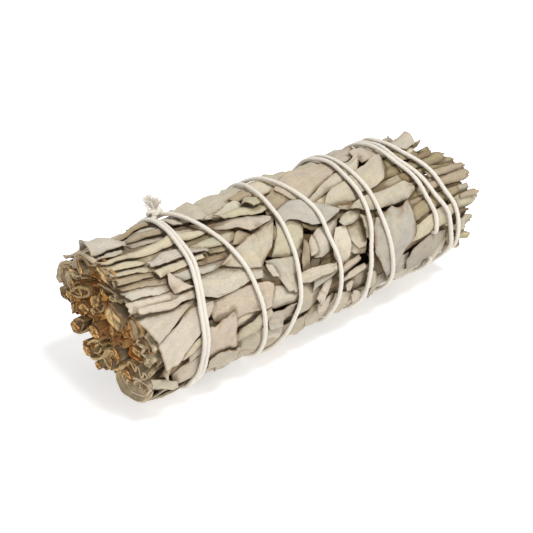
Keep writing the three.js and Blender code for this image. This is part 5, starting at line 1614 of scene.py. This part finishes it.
class Shader:
    def __init__(self, name):
        self.material = bpy.data.materials.new(name)
        self.material.use_nodes = True
        self.tree = self.material.node_tree
        self.surface = self.tree.nodes["Principled BSDF"]

    def node(self, kind, settings=None, values=None, output=0):
        made = self.tree.nodes.new(kind)
        for key, value in (settings or {}).items():
            if key == "stops":
                ramp = made.color_ramp
                while len(ramp.elements) < len(value):
                    ramp.elements.new(0.5)
                for element, (position, shade) in zip(ramp.elements, value):
                    element.position = position
                    element.color = (shade, shade, shade, 1)
            else:
                setattr(made, key, value)
        for key, value in (values or {}).items():
            if isinstance(value, Socket):
                self.tree.links.new(value.link, made.inputs[key])
            else:
                made.inputs[key].default_value = value
        return Socket(self.tree, made.outputs[output])

    def attribute(self, name, output):
        return self.node("ShaderNodeAttribute", {"attribute_name": name}, output=output)

    def noise(self, vector, scale, detail=3.0, rough=0.5, distortion=0.0):
        return self.node("ShaderNodeTexNoise", None, {"Vector": vector, "Scale": scale, "Detail": detail,
                                                      "Roughness": rough, "Distortion": distortion})

    def stretched(self, vector, amounts):
        return self.node("ShaderNodeVectorMath", {"operation": "MULTIPLY"}, {0: vector, 1: amounts})

    def steps(self, value, stops):
        return self.node("ShaderNodeValToRGB", {"stops": stops}, {"Fac": value})

    def mixed(self, factor, first, second, blend="MIX"):
        return self.node("ShaderNodeMix", {"data_type": "RGBA", "blend_type": blend},
                         {0: factor, 6: first, 7: second}, 2)

    def bump(self, height, strength, distance, normal=None):
        values = {"Height": height, "Strength": strength, "Distance": distance}
        if normal:
            values["Normal"] = normal
        return self.node("ShaderNodeBump", None, values)

    def set(self, values):
        for name, value in values.items():
            if isinstance(value, Socket):
                self.tree.links.new(value.link, self.surface.inputs[name])
            else:
                self.surface.inputs[name].default_value = value


leafLook = {
    "speckle": (0.16, 0.10, 0.05, 1),
    "warmSpot": (0.42, 0.29, 0.16, 1),
    "veinDepth": 0.00014,
    "grainDepth": 0.00011,
    "surface": {"Roughness": 0.86, "Specular IOR Level": 0.15, "Sheen Weight": 0.07, "Sheen Roughness": 0.6,
                "Sheen Tint": (0.9, 0.88, 0.82, 1)},
}


def leafMaterial():
    shader = Shader("dried_sage_leaf")
    colour = shader.attribute("leafColour", 0)
    spot = shader.attribute("leafPlace", 1)
    mottle = shader.noise(spot, 0.45, 4, 0.6)
    fine = shader.noise(spot, 2.6, 4, 0.7)
    lengthwise = shader.noise(shader.stretched(spot, (0.35, 2.6, 1)), 1.0, 4, 0.6, 0.6)
    veins = shader.node("ShaderNodeTexVoronoi", {"feature": "DISTANCE_TO_EDGE"},
                        {"Vector": shader.stretched(spot, (0.9, 1.4, 1)), "Scale": 1.1})
    veinLine = shader.steps(veins, [(0.0, 0.0), (0.12, 1.0)])
    shade = shader.steps(mottle * 0.6 + lengthwise * 0.4, [(0.3, 0.82), (0.5, 0.98), (0.72, 1.08)])
    tinted = shader.mixed(1.0, colour, shade, "MULTIPLY")
    grain = shader.steps(fine, [(0.36, 0.88), (0.5, 1.0), (0.64, 1.06)])
    tinted = shader.mixed(1.0, tinted, grain, "MULTIPLY")
    warmSpots = shader.steps(shader.noise(spot, 0.9, 3, 0.7), [(0.62, 0.0), (0.74, 0.5)])
    tinted = shader.mixed(warmSpots, tinted, leafLook["warmSpot"])
    specks = shader.steps(shader.noise(spot, 2.3, 2, 0.5), [(0.71, 0.0), (0.75, 0.75)])
    tinted = shader.mixed(specks, tinted, leafLook["speckle"])
    relief = shader.bump(veinLine * 0.5 + lengthwise * 0.8, 0.55, leafLook["veinDepth"])
    relief = shader.bump(fine, 0.7, leafLook["grainDepth"], relief)
    shader.set({"Base Color": tinted, "Normal": relief, **leafLook["surface"]})
    return shader.material


stemLook = {"grainDepth": 0.00022, "surface": {"Roughness": 0.8, "Specular IOR Level": 0.3}}


def stemMaterial():
    shader = Shader("dry_stem")
    colour = shader.attribute("leafColour", 0)
    spot = shader.attribute("leafPlace", 1)
    fibre = shader.noise(shader.stretched(spot, (0.25, 3.0, 3.0)), 1.3, 4, 0.65)
    grain = shader.noise(spot, 4.0, 4, 0.7)
    shade = shader.steps(fibre * 0.6 + grain * 0.4, [(0.3, 0.6), (0.5, 0.95), (0.7, 1.15)])
    tinted = shader.mixed(1.0, colour, shade, "MULTIPLY")
    relief = shader.bump(fibre * 0.7 + grain * 0.6, 0.7, stemLook["grainDepth"])
    shader.set({"Base Color": tinted, "Normal": relief, **stemLook["surface"]})
    return shader.material


cottonLook = {
    "fibreDepth": 0.00012,
    "surface": {"Roughness": 0.95, "Specular IOR Level": 0.15, "Sheen Weight": 0.35, "Sheen Roughness": 0.5,
                "Subsurface Weight": 0.12, "Subsurface Radius": (0.001, 0.0009, 0.0007),
                "Subsurface Scale": 0.6},
}


def cottonMaterial():
    shader = Shader("cotton_twine")
    colour = shader.attribute("leafColour", 0)
    spot = shader.attribute("leafPlace", 1)
    strands = shader.noise(shader.stretched(spot, (1.2, 5.0, 1.0)), 1.6, 4, 0.7, 1.0)
    fuzz = shader.noise(spot, 5.0, 3, 0.7)
    shade = shader.steps(strands, [(0.25, 0.84), (0.6, 1.0)])
    tinted = shader.mixed(1.0, colour, shade, "MULTIPLY")
    relief = shader.bump(strands * 0.8 + fuzz * 0.4, 0.6, cottonLook["fibreDepth"])
    shader.set({"Base Color": tinted, "Normal": relief, **cottonLook["surface"]})
    return shader.material


# Camera, floor and light
view = {
    "azimuth": -36.0, "height": 36.8, "distance": 550.0, "lens": 153.6,
    "aim": (-2.5, 0.0, -2.3),  # from the middle of the bundle's axis
}
lights = {
    "key": {"position": (0.3, -0.7, 2.1), "size": 0.65, "power": 45},
    "fill": {"position": (-1.6, -0.9, 0.9), "size": 1.2, "power": 8},
}
stage = {
    "floorReach": 3,
    "floor": {"Base Color": (0.8, 0.8, 0.8, 1), "Roughness": 0.9, "Emission Color": (1, 1, 1, 1),
              "Emission Strength": 0.5},
    "roomLight": 0.42,
}


def setCamera():
    azimuth = view["azimuth"] * degree
    height = view["height"] * degree
    shift = Vector((bundle["planShift"][0], bundle["planShift"][1], bundle["axisHeight"]))
    aim = Vector(view["aim"]) + shift
    level = math.cos(height)
    back = Vector((math.sin(azimuth) * level, -math.cos(azimuth) * level, math.sin(height)))
    data = bpy.data.cameras.new("camera")
    data.lens = view["lens"]
    data.sensor_width = 36
    data.clip_start = 0.01
    camera = bpy.data.objects.new("camera", data)
    camera.location = (aim + back * view["distance"]) * millimetre
    camera.rotation_euler = back.to_track_quat("Z", "Y").to_euler()
    bpy.context.scene.collection.objects.link(camera)
    bpy.context.scene.camera = camera


def addSoftLight(name, position, size, power):
    data = bpy.data.lights.new(name, "AREA")
    data.shape = "DISK"
    data.size = size
    data.energy = power
    lamp = bpy.data.objects.new(name, data)
    lamp.location = position
    lamp.rotation_euler = (Vector(position) - Vector((0, 0, 0.02))).to_track_quat("Z", "Y").to_euler()
    bpy.context.scene.collection.objects.link(lamp)


def setStage():
    mesh = bpy.data.meshes.new("floor")
    reach = stage["floorReach"]
    corners = [(-reach, -reach, 0), (reach, -reach, 0), (reach, reach, 0), (-reach, reach, 0)]
    mesh.from_pydata(corners, [], [(0, 1, 2, 3)])
    shader = Shader("white_floor")
    shader.set(stage["floor"])
    mesh.materials.append(shader.material)
    floor = bpy.data.objects.new("floor", mesh)
    bpy.context.scene.collection.objects.link(floor)
    world = bpy.data.worlds.new("studio")
    world.use_nodes = True
    world.node_tree.nodes["Background"].inputs["Color"].default_value = (1, 1, 1, 1)
    world.node_tree.nodes["Background"].inputs["Strength"].default_value = stage["roomLight"]
    bpy.context.scene.world = world
    for name, light in lights.items():
        addSoftLight(name, **light)
    bpy.context.scene.view_settings.view_transform = "Standard"


def dress(piece, nodes):
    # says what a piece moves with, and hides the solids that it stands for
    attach(piece, "root")
    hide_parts(*nodes)


setCamera()
setStage()
layAllLeaves()
heap, press, stringPath = pressLeaves()
leafDress = leafMaterial()
stemDress = stemMaterial()
leafParts = [MeshParts() for _ in stems]
stemParts = [MeshParts() for _ in stems]
buildLeaves(heap, press, leafParts)
print("leaves shaped")
buildEndFolds("stems", cutStems, leafParts, -1)
addCrumbs(ends["stems"], leafParts)
buildEndFolds("tips", [], leafParts, 1)
buildStems(stemParts)
sprigNames = [f"sprig_{number + 1:02d}" for number in range(len(stems))]
for name, leaves, wood in zip(sprigNames, leafParts, stemParts):
    if leaves.count:
        dress(leaves.piece(name + "_leaves", leafDress), [name])
    if wood.count:
        dress(wood.piece(name + "_stem", stemDress, 35), [name])
print("leafy stems made")
dress(buildInside(leafDress), sprigNames)
dress(buildString(stringPath, cottonMaterial()), ["string"])
print("string wound")
